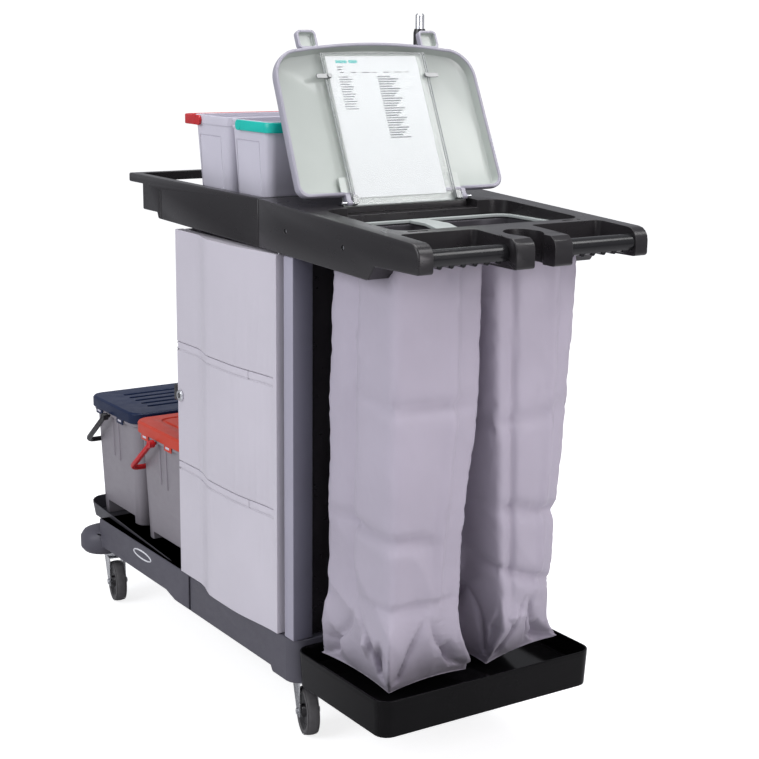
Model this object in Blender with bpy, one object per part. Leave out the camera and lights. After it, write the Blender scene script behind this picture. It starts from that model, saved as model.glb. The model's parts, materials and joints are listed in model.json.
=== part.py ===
"""Housekeeping cart: a wheeled chassis with a cabinet, a top deck, two hanging bags and buckets.

Metres, +Z up. The handle end is at +X and the cabinet door faces -Y. The origin is on the floor
under the middle of the cart.
"""
import math

import bmesh
import bpy
from mathutils import Matrix, Vector

# Driving dimensions. Stations along the cart are distances behind the handle's front face.
HANDLE_X = 0.73775
HALF_LENGTH = 0.75475
NOSE_X = HALF_LENGTH
GAP = 0.0003
HALF_WIDTH = 0.252
DECK_TOP = 1.082
DECK_FLOOR = 1.045
FRAME_FRONT_TOP = 1.055
SKIRT_BOTTOM = 0.986
CHASSIS_TOP = 0.222
CHASSIS_FLOOR = 0.200
TRAY_FLOOR = 0.2055
TRAY_TOP = 0.211
TRAY_BOTTOM = 0.138
CASTOR_TOP = 0.130
WHEEL_RADIUS = 0.050
WHEEL_TRAIL = 0.030
LID_TILT = math.radians(24)
ROUND = 24
SHARP_TURN = math.radians(40)
SMOOTH_BELOW = math.radians(35)


def back(distance):
    """X of a station this far behind the handle's front face."""
    return HANDLE_X - distance


DECK_END = back(1.129)
SKIRT_END = back(1.060)
SEAM = back(0.541)
CHASSIS_REAR = back(1.357)
CHASSIS_FRONT = back(0.415)
TRAY_REAR = CHASSIS_FRONT + 0.002
TRAY_FRONT = back(0.099)
CABINET_REAR = back(0.898)
CABINET_FRONT = back(0.416)
DOOR_REAR = back(0.905)
DOOR_FRONT = back(0.4675)
WELL_REAR = back(0.381)
WELL_FRONT = back(0.1325)
HINGE_X = back(0.4025)
HINGE_Z = 1.0785
BUCKET_FLOOR = 0.2058


# ---------------------------------------------------------------- scene and materials

def clear_scene():
    for item in list(bpy.data.objects):
        bpy.data.objects.remove(item, do_unlink=True)


def make_material(name, colour, roughness, metallic=0.0, alpha=1.0):
    material = bpy.data.materials.new(name)
    material.use_nodes = True
    shader = material.node_tree.nodes["Principled BSDF"]
    shader.inputs["Base Color"].default_value = (*colour, 1.0)
    shader.inputs["Roughness"].default_value = roughness
    shader.inputs["Metallic"].default_value = metallic
    shader.inputs["Alpha"].default_value = alpha
    return material


def make_materials():
    return {
        "slate": make_material("slate_plastic", (0.085, 0.088, 0.105), 0.5),
        "black": make_material("black_plastic", (0.018, 0.018, 0.020), 0.38),
        "gloss": make_material("gloss_black", (0.008, 0.008, 0.009), 0.14),
        "panel": make_material("lilac_white_panel", (0.60, 0.58, 0.65), 0.35),
        "post": make_material("lilac_post", (0.52, 0.50, 0.58), 0.35),
        "tub": make_material("lilac_grey_tub", (0.36, 0.35, 0.38), 0.45),
        "lid": make_material("pale_lid", (0.62, 0.61, 0.66), 0.25),
        "clear": make_material("clear_sheet", (0.92, 0.95, 0.95), 0.05, alpha=0.3),
        "paper": make_material("paper", (0.86, 0.88, 0.88), 0.8),
        "bag": make_material("bag_cloth", (0.50, 0.46, 0.54), 0.7),
        "rail": make_material("grey_rail", (0.42, 0.45, 0.44), 0.4),
        "navy": make_material("navy_plastic", (0.02, 0.035, 0.085), 0.4),
        "orange": make_material("orange_plastic", (0.66, 0.10, 0.05), 0.4),
        "red": make_material("red_plastic", (0.55, 0.02, 0.02), 0.35),
        "teal": make_material("teal_plastic", (0.0, 0.55, 0.45), 0.35),
        "zinc": make_material("zinc_steel", (0.62, 0.63, 0.65), 0.25, 1.0),
        "alu": make_material("aluminium", (0.80, 0.81, 0.83), 0.3, 1.0),
        "tyre": make_material("grey_tyre", (0.14, 0.14, 0.145), 0.7),
    }


# ---------------------------------------------------------------- mesh helpers

def add_mesh(name, mesh, material=None):
    item = bpy.data.objects.new(name, mesh)
    bpy.context.scene.collection.objects.link(item)
    if material is not None:
        mesh.materials.append(material)
    return item


def from_bmesh(name, bm, material=None):
    bmesh.ops.recalc_face_normals(bm, faces=bm.faces)
    mesh = bpy.data.meshes.new(name)
    bm.to_mesh(mesh)
    bm.free()
    mesh.shade_smooth()
    mesh.set_sharp_from_angle(angle=SMOOTH_BELOW)
    return add_mesh(name, mesh, material)


def loft(name, rings, material=None, close=False):
    """A closed solid through rings of equal point count, capped at both ends unless it closes."""
    bm = bmesh.new()
    rows = [[bm.verts.new(point) for point in ring] for ring in rings]
    count = len(rows[0])
    pairs = list(zip(rows, rows[1:]))
    if close:
        pairs.append((rows[-1], rows[0]))
    for low, high in pairs:
        for i in range(count):
            j = (i + 1) % count
            bm.faces.new((low[i], low[j], high[j], high[i]))
    if not close:
        bm.faces.new(list(reversed(rows[0])))
        bm.faces.new(rows[-1])
    return from_bmesh(name, bm, material)


def rounded_rect(half_x, half_y, radius, steps=4):
    """Corner-rounded rectangle, counterclockwise, as (x, y) points."""
    points = []
    corners = ((1, 1, 0), (-1, 1, 90), (-1, -1, 180), (1, -1, 270))
    for sign_x, sign_y, start in corners:
        for step in range(steps + 1):
            angle = math.radians(start + 90 * step / steps)
            x = sign_x * (half_x - radius) + radius * math.cos(angle)
            y = sign_y * (half_y - radius) + radius * math.sin(angle)
            points.append((x, y))
    return points


def rect_ring(centre, half, radius, z, steps=4):
    return [(centre[0] + x, centre[1] + y, z) for x, y in rounded_rect(*half, radius, steps)]


def circle_points(radius, steps=ROUND, start=0.0):
    turn = 2 * math.pi / steps
    return [(radius * math.cos(start + i * turn), radius * math.sin(start + i * turn)) for i in range(steps)]


def prism(name, outline, low, high, axis="y", material=None, bevel=0.0):
    """Extrude an outline along an axis: (x, z) points along y, (y, z) along x, (x, y) along z."""
    place = {
        "x": lambda a, b, t: (t, a, b),
        "y": lambda a, b, t: (a, t, b),
        "z": lambda a, b, t: (a, b, t),
    }[axis]
    bm = bmesh.new()
    first = [bm.verts.new(place(a, b, low)) for a, b in outline]
    last = [bm.verts.new(place(a, b, high)) for a, b in outline]
    count = len(outline)
    bm.faces.new(list(reversed(first)))
    bm.faces.new(last)
    for i in range(count):
        j = (i + 1) % count
        bm.faces.new((first[i], first[j], last[j], last[i]))
    if bevel > 0:
        bmesh.ops.recalc_face_normals(bm, faces=bm.faces)
        sharp = [edge for edge in bm.edges if edge.calc_face_angle(0) > SHARP_TURN]
        bmesh.ops.bevel(bm, geom=sharp, offset=bevel, segments=2, profile=0.5, affect="EDGES",
                        clamp_overlap=True)
    return from_bmesh(name, bm, material)


def box(name, low, high, material=None, bevel=0.0):
    outline = [(low[0], low[1]), (high[0], low[1]), (high[0], high[1]), (low[0], high[1])]
    return prism(name, outline, low[2], high[2], "z", material, bevel)


def round_box(name, low, high, radius, material=None, steps=4):
    """A box with its four upright edges rounded."""
    centre = ((low[0] + high[0]) / 2, (low[1] + high[1]) / 2)
    half = ((high[0] - low[0]) / 2, (high[1] - low[1]) / 2)
    rings = [rect_ring(centre, half, radius, z, steps) for z in (low[2], high[2])]
    return loft(name, rings, material)


def cylinder(name, radius, start, end, material=None, steps=ROUND):
    """A round bar between two points."""
    start, end = Vector(start), Vector(end)
    turn = (end - start).to_track_quat("Z", "Y").to_matrix()
    circle = [turn @ Vector((x, y, 0)) for x, y in circle_points(radius, steps)]
    rings = [[base + point for point in circle] for base in (start, end)]
    return loft(name, rings, material)


def turned_ring(name, profile, material=None, steps=24):
    """Turn a closed (radius, y) profile about the Y axis, with a point straight down."""
    rings = []
    for i in range(steps):
        angle = 2 * math.pi * i / steps - math.pi / 2
        rings.append([(r * math.cos(angle), y, r * math.sin(angle)) for r, y in profile])
    return loft(name, rings, material, close=True)


def bar_along(name, path, half_wide, half_deep, material=None, radius=0.002):
    """A flat or round bar swept along a path that lies in one plane, its depth across that plane."""
    path = [Vector(point) for point in path]
    normal = (path[1] - path[0]).cross(path[-1] - path[0])
    normal = normal.normalized() if normal.length > 1e-9 else Vector((0, 0, 1))
    rings = []
    for i, point in enumerate(path):
        before = (point - path[i - 1]).normalized() if i else (path[1] - point).normalized()
        after = (path[i + 1] - point).normalized() if i + 1 < len(path) else before
        tangent = (before + after).normalized()
        stretch = 1 / max(tangent.dot(after), 0.5)
        side = normal.cross(tangent)
        section = rounded_rect(half_wide, half_deep, radius, 2)
        rings.append([point + side * (x * stretch) + normal * y for x, y in section])
    return loft(name, rings, material)


def boolean(target, other, operation="DIFFERENCE"):
    """Cut or join another object, which stays in the file as a hidden guide."""
    other.hide_render = True
    other.display_type = "WIRE"
    modifier = target.modifiers.new(operation.lower(), "BOOLEAN")
    modifier.operation = operation
    modifier.solver = "EXACT"
    modifier.object = other


def set_origin(item, point):
    """Move an object's origin to a point without moving its shape."""
    item.data.transform(Matrix.Translation(-Vector(point)))
    item.location = point


def hang_on(item, parent, place=(0, 0, 0)):
    item.parent = parent
    item.location = place


# ---------------------------------------------------------------- chassis and trays

BUMPER = (back(1.390), 0.226)
BUMPER_RADIUS = 0.055


def chassis_outline():
    """Plan of the chassis: rounded front corners and a rear end that bows out a little."""
    corner = 0.030
    half = 0.249
    front = []
    for step in range(5):
        angle = math.radians(-90 + 90 * step / 4)
        x = CHASSIS_FRONT - corner + corner * math.cos(angle)
        front.append((x, -half + corner + corner * math.sin(angle)))
    far_front = [(x, -y) for x, y in reversed(front)]
    bow = 0.045
    rear = []
    for step in range(9):
        side = 1 - step / 4
        rear.append((CHASSIS_REAR - bow * (1 - side * side), half * side))
    return front + far_front + rear


def make_chassis(materials):
    chassis = prism("chassis_base", chassis_outline(), CASTOR_TOP, CHASSIS_TOP, "z", materials["slate"])
    step_one = back(0.965)
    step_two = back(0.505)
    under = [(-1.0, 0.10), (-1.0, 0.152), (step_one - 0.025, 0.152), (step_one + 0.02, 0.141),
             (step_two - 0.004, 0.141), (step_two + 0.004, CASTOR_TOP - 0.002), (step_two + 0.004, 0.10)]
    boolean(chassis, prism("cut_chassis_sill", under, -0.3, 0.3, "y"))
    pocket = ((back(1.33), -0.241, 0.10), (back(0.52), 0.241, 0.193))
    boolean(chassis, round_box("cut_chassis_pocket", *pocket, 0.02))
    well = (-0.9, back(0.925))
    boolean(chassis, box("cut_chassis_well", (well[0], -0.243, CHASSIS_FLOOR), (well[1], 0.243, 0.30)))
    for side, name in ((-1, "near"), (1, "far")):
        lobe = bumper_lobe("join_bumper_" + name, (BUMPER[0], side * BUMPER[1]))
        boolean(chassis, lobe, "UNION")


def bumper_lobe(name, centre):
    """A rounded disc that guards a rear corner and carries its castor."""
    profile = ((0.030, CASTOR_TOP), (BUMPER_RADIUS - 0.010, CASTOR_TOP), (BUMPER_RADIUS, 0.142),
               (BUMPER_RADIUS, 0.168), (BUMPER_RADIUS - 0.008, 0.182), (0.030, 0.189))
    rings = [[(centre[0] + x, centre[1] + y, z) for x, y in circle_points(r)] for r, z in profile]
    return loft(name, rings)


def make_bucket_tray(materials):
    """A thin liner that carries the rear buckets; its rear end sticks out as a rising lip."""
    rear = back(1.488)
    front = back(0.9265)
    wall = 0.003
    floor = CHASSIS_FLOOR + GAP
    centre = ((rear + front) / 2, 0)
    half = ((front - rear) / 2, 0.2405)

    def ring(inset, z, radius, lift):
        points = []
        for x, y, level in rect_ring(centre, (half[0] - inset, half[1] - inset), radius, z):
            behind = min(max((CHASSIS_REAR - x) / (CHASSIS_REAR - rear), 0.0), 1.0)
            points.append((x, y * (1 - 0.10 * behind), level + lift * behind))
        return points

    rings = [
        ring(0.006, floor, 0.030, 0.0),
        ring(0.0, 0.2215, 0.034, 0.018),
        ring(wall, 0.2215, 0.031, 0.018),
        ring(0.006 + wall, TRAY_FLOOR, 0.027, 0.0),
    ]
    loft("bucket_tray", rings, materials["black"])


def make_bag_tray(materials):
    """The low tray on the floor side of the bags."""
    centre = ((TRAY_REAR + TRAY_FRONT) / 2, 0)
    half = ((TRAY_FRONT - TRAY_REAR) / 2, 0.249)
    floor = 0.172
    rings = [
        rect_ring(centre, (half[0] - 0.004, half[1] - 0.004), 0.026, TRAY_BOTTOM, 5),
        rect_ring(centre, half, 0.030, TRAY_TOP - 0.010, 5),
        rect_ring(centre, half, 0.030, TRAY_TOP, 5),
        rect_ring(centre, (half[0] - 0.004, half[1] - 0.004), 0.026, TRAY_TOP, 5),
        rect_ring(centre, (half[0] - 0.007, half[1] - 0.007), 0.023, floor, 5),
    ]
    tray = loft("bag_tray", rings, materials["gloss"])
    under = ((TRAY_REAR + 0.008, -0.238, 0.10), (TRAY_FRONT - 0.010, 0.238, 0.168))
    boolean(tray, round_box("cut_tray_under", *under, 0.02))


# ---------------------------------------------------------------- cabinet

POST_BOTTOM = CHASSIS_TOP + GAP
POST_TOP = 0.9818
POST_SIZE = 0.036
DOOR_BACK = -0.232


def make_posts(materials):
    for side, name in ((-1, "near"), (1, "far")):
        low_y, high_y = sorted((side * 0.249, side * 0.204))
        box("front_post_" + name, (CABINET_FRONT - POST_SIZE, low_y, POST_BOTTOM),
            (CABINET_FRONT, high_y, POST_TOP), materials["post"], 0.003)


def make_panels(materials):
    rear = CABINET_REAR
    front = CABINET_FRONT
    channel = [(rear, -0.231), (rear + 0.026, -0.231), (rear + 0.026, -0.2285), (rear + 0.003, -0.2285),
               (rear + 0.003, 0.2285), (rear + 0.026, 0.2285), (rear + 0.026, 0.231), (rear, 0.231)]
    prism("side_panel", channel, POST_BOTTOM, POST_TOP, "z", materials["panel"])
    box("back_panel", (rear, 0.2313, POST_BOTTOM), (front - POST_SIZE - GAP, 0.2353, POST_TOP),
        materials["panel"])
    box("end_panel", (front - 0.022, -0.2037, POST_BOTTOM), (front - 0.018, 0.2037, POST_TOP),
        materials["black"])
    plate = ((rear + 0.0033, -0.2035, 0.575), (front - 0.0365, 0.2282, 0.600))
    shelf = round_box("cabinet_shelf", *plate, 0.004, materials["panel"])
    hollow = ((rear + 0.0063, -0.2005, 0.579), (front - 0.0395, 0.2252, 0.700))
    boolean(shelf, round_box("cut_shelf_tray", *hollow, 0.004))


def door_front_y(x):
    """The door's outer face: flat at the lock side, bulging out towards the middle."""
    along = (x - DOOR_REAR) / (DOOR_FRONT - DOOR_REAR)
    rise = min(max((along - 0.22) / 0.20, 0.0), 1.0)
    fall = min(max((along - 0.62) / 0.38, 0.0), 1.0)
    swell = rise * rise * (3 - 2 * rise)
    settle = fall * fall * (3 - 2 * fall)
    return -0.2510 - 0.0190 * swell + 0.0140 * settle


HINGE_PIN_X = DOOR_FRONT - 0.010
HINGE_PIN_Y = -0.2415
DOOR_BOTTOM = CHASSIS_TOP + 0.0015
DOOR_TOP = 0.9815


def make_door(materials):
    steps = 18
    outline = []
    for i in range(steps + 1):
        x = DOOR_REAR + (DOOR_FRONT - DOOR_REAR) * i / steps
        outline.append((x, door_front_y(x)))
    outline.append((DOOR_FRONT, DOOR_BACK))
    outline.append((DOOR_REAR, DOOR_BACK))
    door = prism("door_panel", outline, DOOR_BOTTOM, DOOR_TOP, "z", materials["panel"])
    pin = (HINGE_PIN_X, HINGE_PIN_Y)
    for name, low, high in (("lower", 0.10, DOOR_BOTTOM + 0.0165), ("upper", DOOR_TOP - 0.0165, 1.2)):
        boolean(door, cylinder("cut_door_socket_" + name, 0.0045, (*pin, low), (*pin, high), steps=16))
    x, _, z = lock_centre()
    boolean(door, cylinder("cut_lock_hole", 0.0105, (x, -0.30, z), (x, -0.20, z), steps=20))
    set_origin(door, (*pin, DOOR_BOTTOM))
    reach = 0.015
    pins = (("lower", CHASSIS_TOP + GAP, DOOR_BOTTOM + reach),
            ("upper", DOOR_TOP - reach, SKIRT_BOTTOM + 0.010))
    for name, low, high in pins:
        cylinder("door_pin_" + name, 0.004, (*pin, low), (*pin, high), materials["zinc"], 16)


def lock_centre():
    return (DOOR_REAR + 0.0165, -0.2510, 0.625)


def make_lock(materials):
    """A cam lock: a round barrel through the door and the catch box that it works in."""
    x, y, z = lock_centre()
    profile = ((0.010, y + 0.018), (0.010, y - 0.0004), (0.0125, y - 0.0004), (0.0125, y - 0.004),
               (0.0110, y - 0.006), (0.0020, y - 0.006))
    rings = [[(a, level, c) for a, c in circle_points(r, 20)] for r, level in profile]
    barrel = loft("lock_barrel", rings, materials["zinc"])
    slot = box("cut_key_slot", (-0.0012, y - 0.02, -0.006), (0.0012, y - 0.003, 0.006))
    boolean(barrel, slot)
    for item in (barrel, slot):
        set_origin(item, (0, y, 0))
        item.location = (x, y, z)
    box("lock_case", (DOOR_REAR - 0.026, -0.2480, z - 0.017), (DOOR_REAR - 0.0006, -0.2310, z + 0.017),
        materials["black"], 0.003)


# ---------------------------------------------------------------- deck and handle frame

def make_deck(materials):
    """The open tray over the rear buckets and the cabinet, with deep side skirts."""
    side = [(DECK_END, 1.063), (SKIRT_END, 1.063), (SKIRT_END, 1.008), (back(0.990), 1.008),
            (back(0.984), 0.995), (SEAM - GAP, SKIRT_BOTTOM), (SEAM - GAP, DECK_TOP - 0.002),
            (DECK_END, DECK_TOP)]
    deck = prism("rear_deck", side, -HALF_WIDTH, HALF_WIDTH, "y", materials["black"], 0.003)
    pan = ((DECK_END + 0.020, -0.230, DECK_FLOOR), (SEAM - 0.016, 0.230, 1.2))
    boolean(deck, round_box("cut_deck_pan", *pan, 0.012))
    under = ((SKIRT_END + 0.006, -0.245, 0.9), (SEAM - 0.006, 0.245, DECK_FLOOR - 0.005))
    boolean(deck, round_box("cut_deck_under", *under, 0.010))
    for i in range(3):
        y = -0.14 + 0.14 * i
        slot = ((SKIRT_END + 0.030, y - 0.045, 1.0), (SKIRT_END + 0.042, y + 0.045, 1.2))
        boolean(deck, round_box("cut_deck_slot_" + str(i), *slot, 0.0055, steps=2))


def frame_top(x):
    """Height of the handle frame's top, which falls gently towards the handle."""
    along = (x - SEAM) / (HANDLE_X - SEAM)
    return DECK_TOP - 0.002 + (FRAME_FRONT_TOP - DECK_TOP + 0.002) * along


GRIP_GAP = (0.062, 0.222)
FINGER_REAR = back(0.104)
CUP_X = back(0.045)


def make_handle_frame(materials):
    """The ring around the bag well, from the cabinet to the handle."""
    nose = 0.024
    outline = [(SEAM + GAP, SKIRT_BOTTOM), (back(0.162), 0.9745), (back(0.155), 0.976), (back(0.135), 1.0015),
               (HANDLE_X - 0.004, 1.003), (HANDLE_X, 1.007)]
    for step in range(5):
        angle = math.radians(90 * step / 4)
        x = HANDLE_X - nose + nose * math.cos(angle)
        outline.append((x, FRAME_FRONT_TOP - nose + nose * math.sin(angle)))
    outline.append((SEAM + GAP, frame_top(SEAM)))
    frame = prism("handle_frame", outline, -HALF_WIDTH, HALF_WIDTH, "y", materials["black"], 0.003)
    block = [(CUP_X - 0.050, 1.0015), (NOSE_X - 0.004, 1.0005), (NOSE_X, 1.004), (NOSE_X, 1.036),
             (NOSE_X - 0.004, 1.046), (NOSE_X - 0.014, 1.0535), (CUP_X - 0.050, 1.0565)]
    boolean(frame, prism("join_nose_block", block, -0.0625, 0.0625, "y", bevel=0.002), "UNION")
    boolean(frame, round_box("cut_well", (WELL_REAR, -0.207, 0.9), (WELL_FRONT, 0.207, 1.2), 0.030, steps=6))
    for side, name in ((-1, "near"), (1, "far")):
        low_y, high_y = sorted((side * GRIP_GAP[0], side * GRIP_GAP[1]))
        gap = round_box("cut_fingers_" + name, (FINGER_REAR, low_y, 0.9), (0.90, high_y, 1.2), 0.010)
        boolean(frame, gap)
        low_y, high_y = sorted((side * 0.214, side * 0.246))
        channel = ((SEAM + 0.012, low_y, 0.9), (back(0.180), high_y, 1.050))
        boolean(frame, round_box("cut_channel_" + name, *channel, 0.004))
        low_y, high_y = sorted((side * 0.150, side * 0.192))
        slot = ((back(0.125), low_y, 1.052), (back(0.117), high_y, 1.2))
        boolean(frame, round_box("cut_slot_" + name, *slot, 0.0035, steps=2))
        for x, z in screw_places():
            hole = cylinder("cut_screw_hole", 0.0045, (x, side * 0.26, z), (x, side * 0.23, z), steps=16)
            boolean(frame, hole)
    boolean(frame, cylinder("cut_cup", 0.036, (CUP_X, 0, 0.9), (CUP_X, 0, 1.2), steps=32))
    boolean(frame, box("cut_notch", (CUP_X, -0.022, 0.9), (0.90, 0.022, 1.2)))
    boolean(frame, box("cut_rear_hollow", (SEAM + 0.012, -0.205, 0.9), (WELL_REAR - 0.008, 0.205, 1.050)))
    recess = (HINGE_X - 0.0165, WELL_REAR + 0.010)
    boolean(frame, box("cut_hinge_recess", (recess[0], -0.150, 1.058), (recess[1], 0.150, 1.2)))


def screw_places():
    return ((back(0.4385), 1.029), (back(0.2365), 1.022))


def make_screws(materials):
    """Two round screw heads a side, on the strip behind the frame's wall that they clamp."""
    for side, name in ((-1, "near"), (1, "far")):
        low_y, high_y = sorted((side * 0.2456, side * 0.2430))
        places = screw_places()
        strip = [(places[0][0] - 0.010, places[0][1] - 0.008), (places[1][0] + 0.010, places[1][1] - 0.008),
                 (places[1][0] + 0.010, places[1][1] + 0.008), (places[0][0] - 0.010, places[0][1] + 0.008)]
        screws = prism("frame_screws_" + name, strip, low_y, high_y, "y", materials["zinc"])
        for x, z in places:
            head = cylinder("join_screw_head", 0.0038, (x, side * 0.2440, z), (x, side * 0.2495, z), steps=12)
            boolean(screws, head, "UNION")


def make_grips(materials):
    """A ribbed hand grip each side of the nose block."""
    radius = 0.0150
    centre_x = HANDLE_X - 0.0170
    centre_z = 1.0275
    for side, name in ((-1, "near"), (1, "far")):
        low_y, high_y = sorted((side * (GRIP_GAP[0] + GAP), side * (GRIP_GAP[1] - GAP)))
        bottom = centre_z - radius
        outline = [(centre_x + x, centre_z + 1.05 * z) for x, z in circle_points(radius, 20)]
        grip = prism("hand_grip_" + name, outline, low_y, high_y, "y", materials["black"])
        count = 6
        for i in range(count):
            y = low_y + (high_y - low_y) * (i + 0.75) / (count + 0.5)
            start = (centre_x - 0.009, y, bottom + 0.0015)
            end = (centre_x + 0.009, y, bottom + 0.0015)
            rib = cylinder("join_rib", 0.0048, start, end, steps=10)
            boolean(grip, rib, "UNION")


RAIL_Z = (1.040, 1.046)


def make_bag_rail(materials):
    """The ring that the bags hang from, and the divider plate between them."""
    rear = WELL_REAR + 0.016
    front = WELL_FRONT - GAP
    centre = ((rear + front) / 2, 0)
    half = ((front - rear) / 2, 0.207 - GAP)
    wide = 0.010
    rings = [
        rect_ring(centre, half, 0.0340, RAIL_Z[0]),
        rect_ring(centre, half, 0.0340, RAIL_Z[1]),
        rect_ring(centre, (half[0] - wide, half[1] - wide), 0.0240, RAIL_Z[1]),
        rect_ring(centre, (half[0] - wide, half[1] - wide), 0.0240, RAIL_Z[0]),
    ]
    loft("bag_rail", rings, materials["rail"], close=True)
    low, high = rear + wide + GAP, front - wide - GAP
    plate = [(low, -0.028), (low + 0.050, -0.028), (high - 0.030, -0.075), (high, -0.075), (high, -0.030),
             (high - 0.040, -0.026), (low + 0.070, 0.014), (low, 0.014)]
    prism("bag_divider", plate, 1.0395, 1.0455, "z", materials["rail"])


def make_bags(materials):
    """Two tall cloth sacks, open at the top, hanging under the rail into the low tray."""
    wall = 0.0016
    centre_x = (WELL_REAR + 0.016 + WELL_FRONT) / 2
    for side, name in ((-1, "near"), (1, "far")):
        def ring(half_x, half_y, z, inset, y=0.108):
            return rect_ring((centre_x, side * y), (half_x - inset, half_y - inset), 0.026 - inset, z, 3)
        outside = [(0.104, 0.080, 0.1985, 0.112), (0.106, 0.084, 0.300, 0.112), (0.104, 0.084, 0.60, 0.112),
                   (0.1085, 0.0955, 0.97, 0.108), (0.1085, 0.0955, 1.0392, 0.108)]
        rings = [ring(hx, hy, z, 0.0, y) for hx, hy, z, y in outside]
        inside = [(hx, hy, max(z, 0.1985 + wall), y) for hx, hy, z, y in reversed(outside)]
        rings += [ring(hx, hy, z, wall, y) for hx, hy, z, y in inside]
        loft("bag_" + name, rings, materials["bag"])


# ---------------------------------------------------------------- lid with its sheet cover

LID_BOTTOM = 0.016
LID_TOP = 0.3095
LID_HALF = 0.236
PIN_RADIUS = 0.003
CLIP_PLACE = 0.255
TAB_PLACE = (LID_TOP + 0.022, 0.141)


def lid_point(s, y, n):
    """World place of a point on the open lid: s up along it, n out of its inner face."""
    return (HINGE_X - s * math.sin(LID_TILT) + n * math.cos(LID_TILT), y,
            HINGE_Z + s * math.cos(LID_TILT) + n * math.sin(LID_TILT))


def lid_ring(outline, n):
    return [lid_point(s, y, n) for s, y in outline]


def lid_solid(name, outline, low, high, material=None):
    return loft(name, [lid_ring(outline, low), lid_ring(outline, high)], material)


def lid_box(name, s_range, y_range, n_range, material=None):
    s, y = s_range, y_range
    outline = [(s[0], y[0]), (s[0], y[1]), (s[1], y[1]), (s[1], y[0])]
    return lid_solid(name, outline, *n_range, material)


def lid_outline(inset):
    """A wide rounded shield: small corners at the hinge, large ones at the arched free edge."""
    points = []
    low = LID_BOTTOM + inset
    half = LID_HALF - inset
    top_half = LID_HALF - 0.004 - inset
    small, large, steps = 0.022 - inset / 2, 0.062 - inset, 5
    for i in range(steps + 1):
        angle = math.radians(90 * i / steps)
        points.append((low + small - small * math.sin(angle), -half + small - small * math.cos(angle)))
    for i in range(steps + 1):
        angle = math.radians(90 * i / steps)
        points.append((low + small - small * math.cos(angle), half - small + small * math.sin(angle)))
    edge = LID_TOP - inset
    for i in range(steps + 1):
        angle = math.radians(90 * i / steps)
        points.append((edge - large + large * math.sin(angle), top_half - large + large * math.cos(angle)))
    span = top_half - large
    for i in range(1, 8):
        y = span * (1 - i / 4)
        points.append((edge + 0.0125 * (1 - (y / span) ** 2), y))
    for i in range(steps + 1):
        angle = math.radians(90 * i / steps)
        points.append((edge - large + large * math.cos(angle), -top_half + large - large * math.sin(angle)))
    return points


def make_lid(materials):
    rings = [lid_ring(lid_outline(inset), n) for inset, n in (
        (0.012, -0.0240), (0.003, -0.0200), (0.0, -0.0100), (0.0, 0.0), (0.0065, 0.0), (0.0085, -0.0170),
        (0.0140, -0.0212))]
    lid = loft("lid_shell", rings, materials["lid"])
    boolean(lid, lid_box("join_lid_pad", (0.050, 0.297), (-0.112, 0.112), (-0.0225, -0.0100)), "UNION")
    boolean(lid, lid_box("join_lid_tongue", (-0.004, 0.055), (-0.1385, 0.1385), (-0.0145, -0.0112)), "UNION")
    boolean(lid, lid_box("cut_lid_mouth", (-0.020, 0.030), (-0.1385, 0.1385), (-0.0100, 0.020)))
    for side, name in ((-1, "near"), (1, "far")):
        y_range = sorted((side * 0.1280, side * 0.1385))
        knuckle = lid_box("join_lid_knuckle_" + name, (-0.0055, 0.0165), y_range, (-0.0145, 0.0055))
        boolean(lid, knuckle, "UNION")
        start, end = (HINGE_X, side * 0.120, HINGE_Z), (HINGE_X, side * 0.150, HINGE_Z)
        boolean(lid, cylinder("cut_lid_pin_" + name, PIN_RADIUS + 0.0004, start, end, steps=16))
        middle = (TAB_PLACE[0], side * TAB_PLACE[1])
        tab = [(middle[0] + s, middle[1] + y) for s, y in rounded_rect(0.0190, 0.0215, 0.009, 3)]
        recess = [(middle[0] + 0.002 + s, middle[1] + y) for s, y in rounded_rect(0.0125, 0.0165, 0.006, 3)]
        boolean(lid, lid_solid("join_lid_tab_" + name, tab, -0.0205, -0.0075), "UNION")
        boolean(lid, lid_solid("cut_lid_tab_" + name, recess, -0.0180, 0.05))
    set_origin(lid, (HINGE_X, 0, HINGE_Z))
    for side, name in ((-1, "near"), (1, "far")):
        start, end = (HINGE_X, side * 0.1165, HINGE_Z), (HINGE_X, side * (0.150 - GAP), HINGE_Z)
        cylinder("lid_hinge_pin_" + name, PIN_RADIUS, start, end, materials["zinc"], 16)
    lid_box("paper_sheet", (0.012, 0.297), (-0.110, 0.100), (-0.0097, -0.0091), materials["paper"])


def make_cover(materials):
    """The clear plate over the paper, on the lid's hinge pins, and its two turn clips."""
    cover = lid_box("lid_cover", (-0.004, 0.303), (-0.1215, 0.1215), (-0.0088, -0.0068), materials["clear"])
    for side, name in ((-1, "near"), (1, "far")):
        y_range = sorted((side * 0.1170, side * 0.1272))
        knuckle = lid_box("join_cover_knuckle_" + name, (-0.0045, 0.0100), y_range, (-0.0088, 0.0055))
        boolean(cover, knuckle, "UNION")
        start, end = (HINGE_X, side * 0.110, HINGE_Z), (HINGE_X, side * 0.135, HINGE_Z)
        boolean(cover, cylinder("cut_cover_pin_" + name, PIN_RADIUS + 0.0004, start, end, steps=16))
    set_origin(cover, (HINGE_X, 0, HINGE_Z))
    for side, name in ((-1, "near"), (1, "far")):
        outline = [(CLIP_PLACE + s, side * 0.1245 + y) for s, y in rounded_rect(0.0050, 0.0175, 0.0045, 3)]
        clip = lid_solid("cover_clip_" + name, outline, -0.0065, -0.0030, materials["clear"])
        set_origin(clip, lid_point(CLIP_PLACE, side * 0.1125, -0.0065))


# ---------------------------------------------------------------- buckets

LOWER_PLACES = {"rear": (back(1.3575), 0.007), "front": (back(1.065), -0.008)}
BAIL_PIVOT = (-0.018, 0.470)
BAIL_BAR = (-0.127, 0.387)
BAIL_SIDE = 0.2280
FOOT_HEIGHT = 0.034


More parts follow.
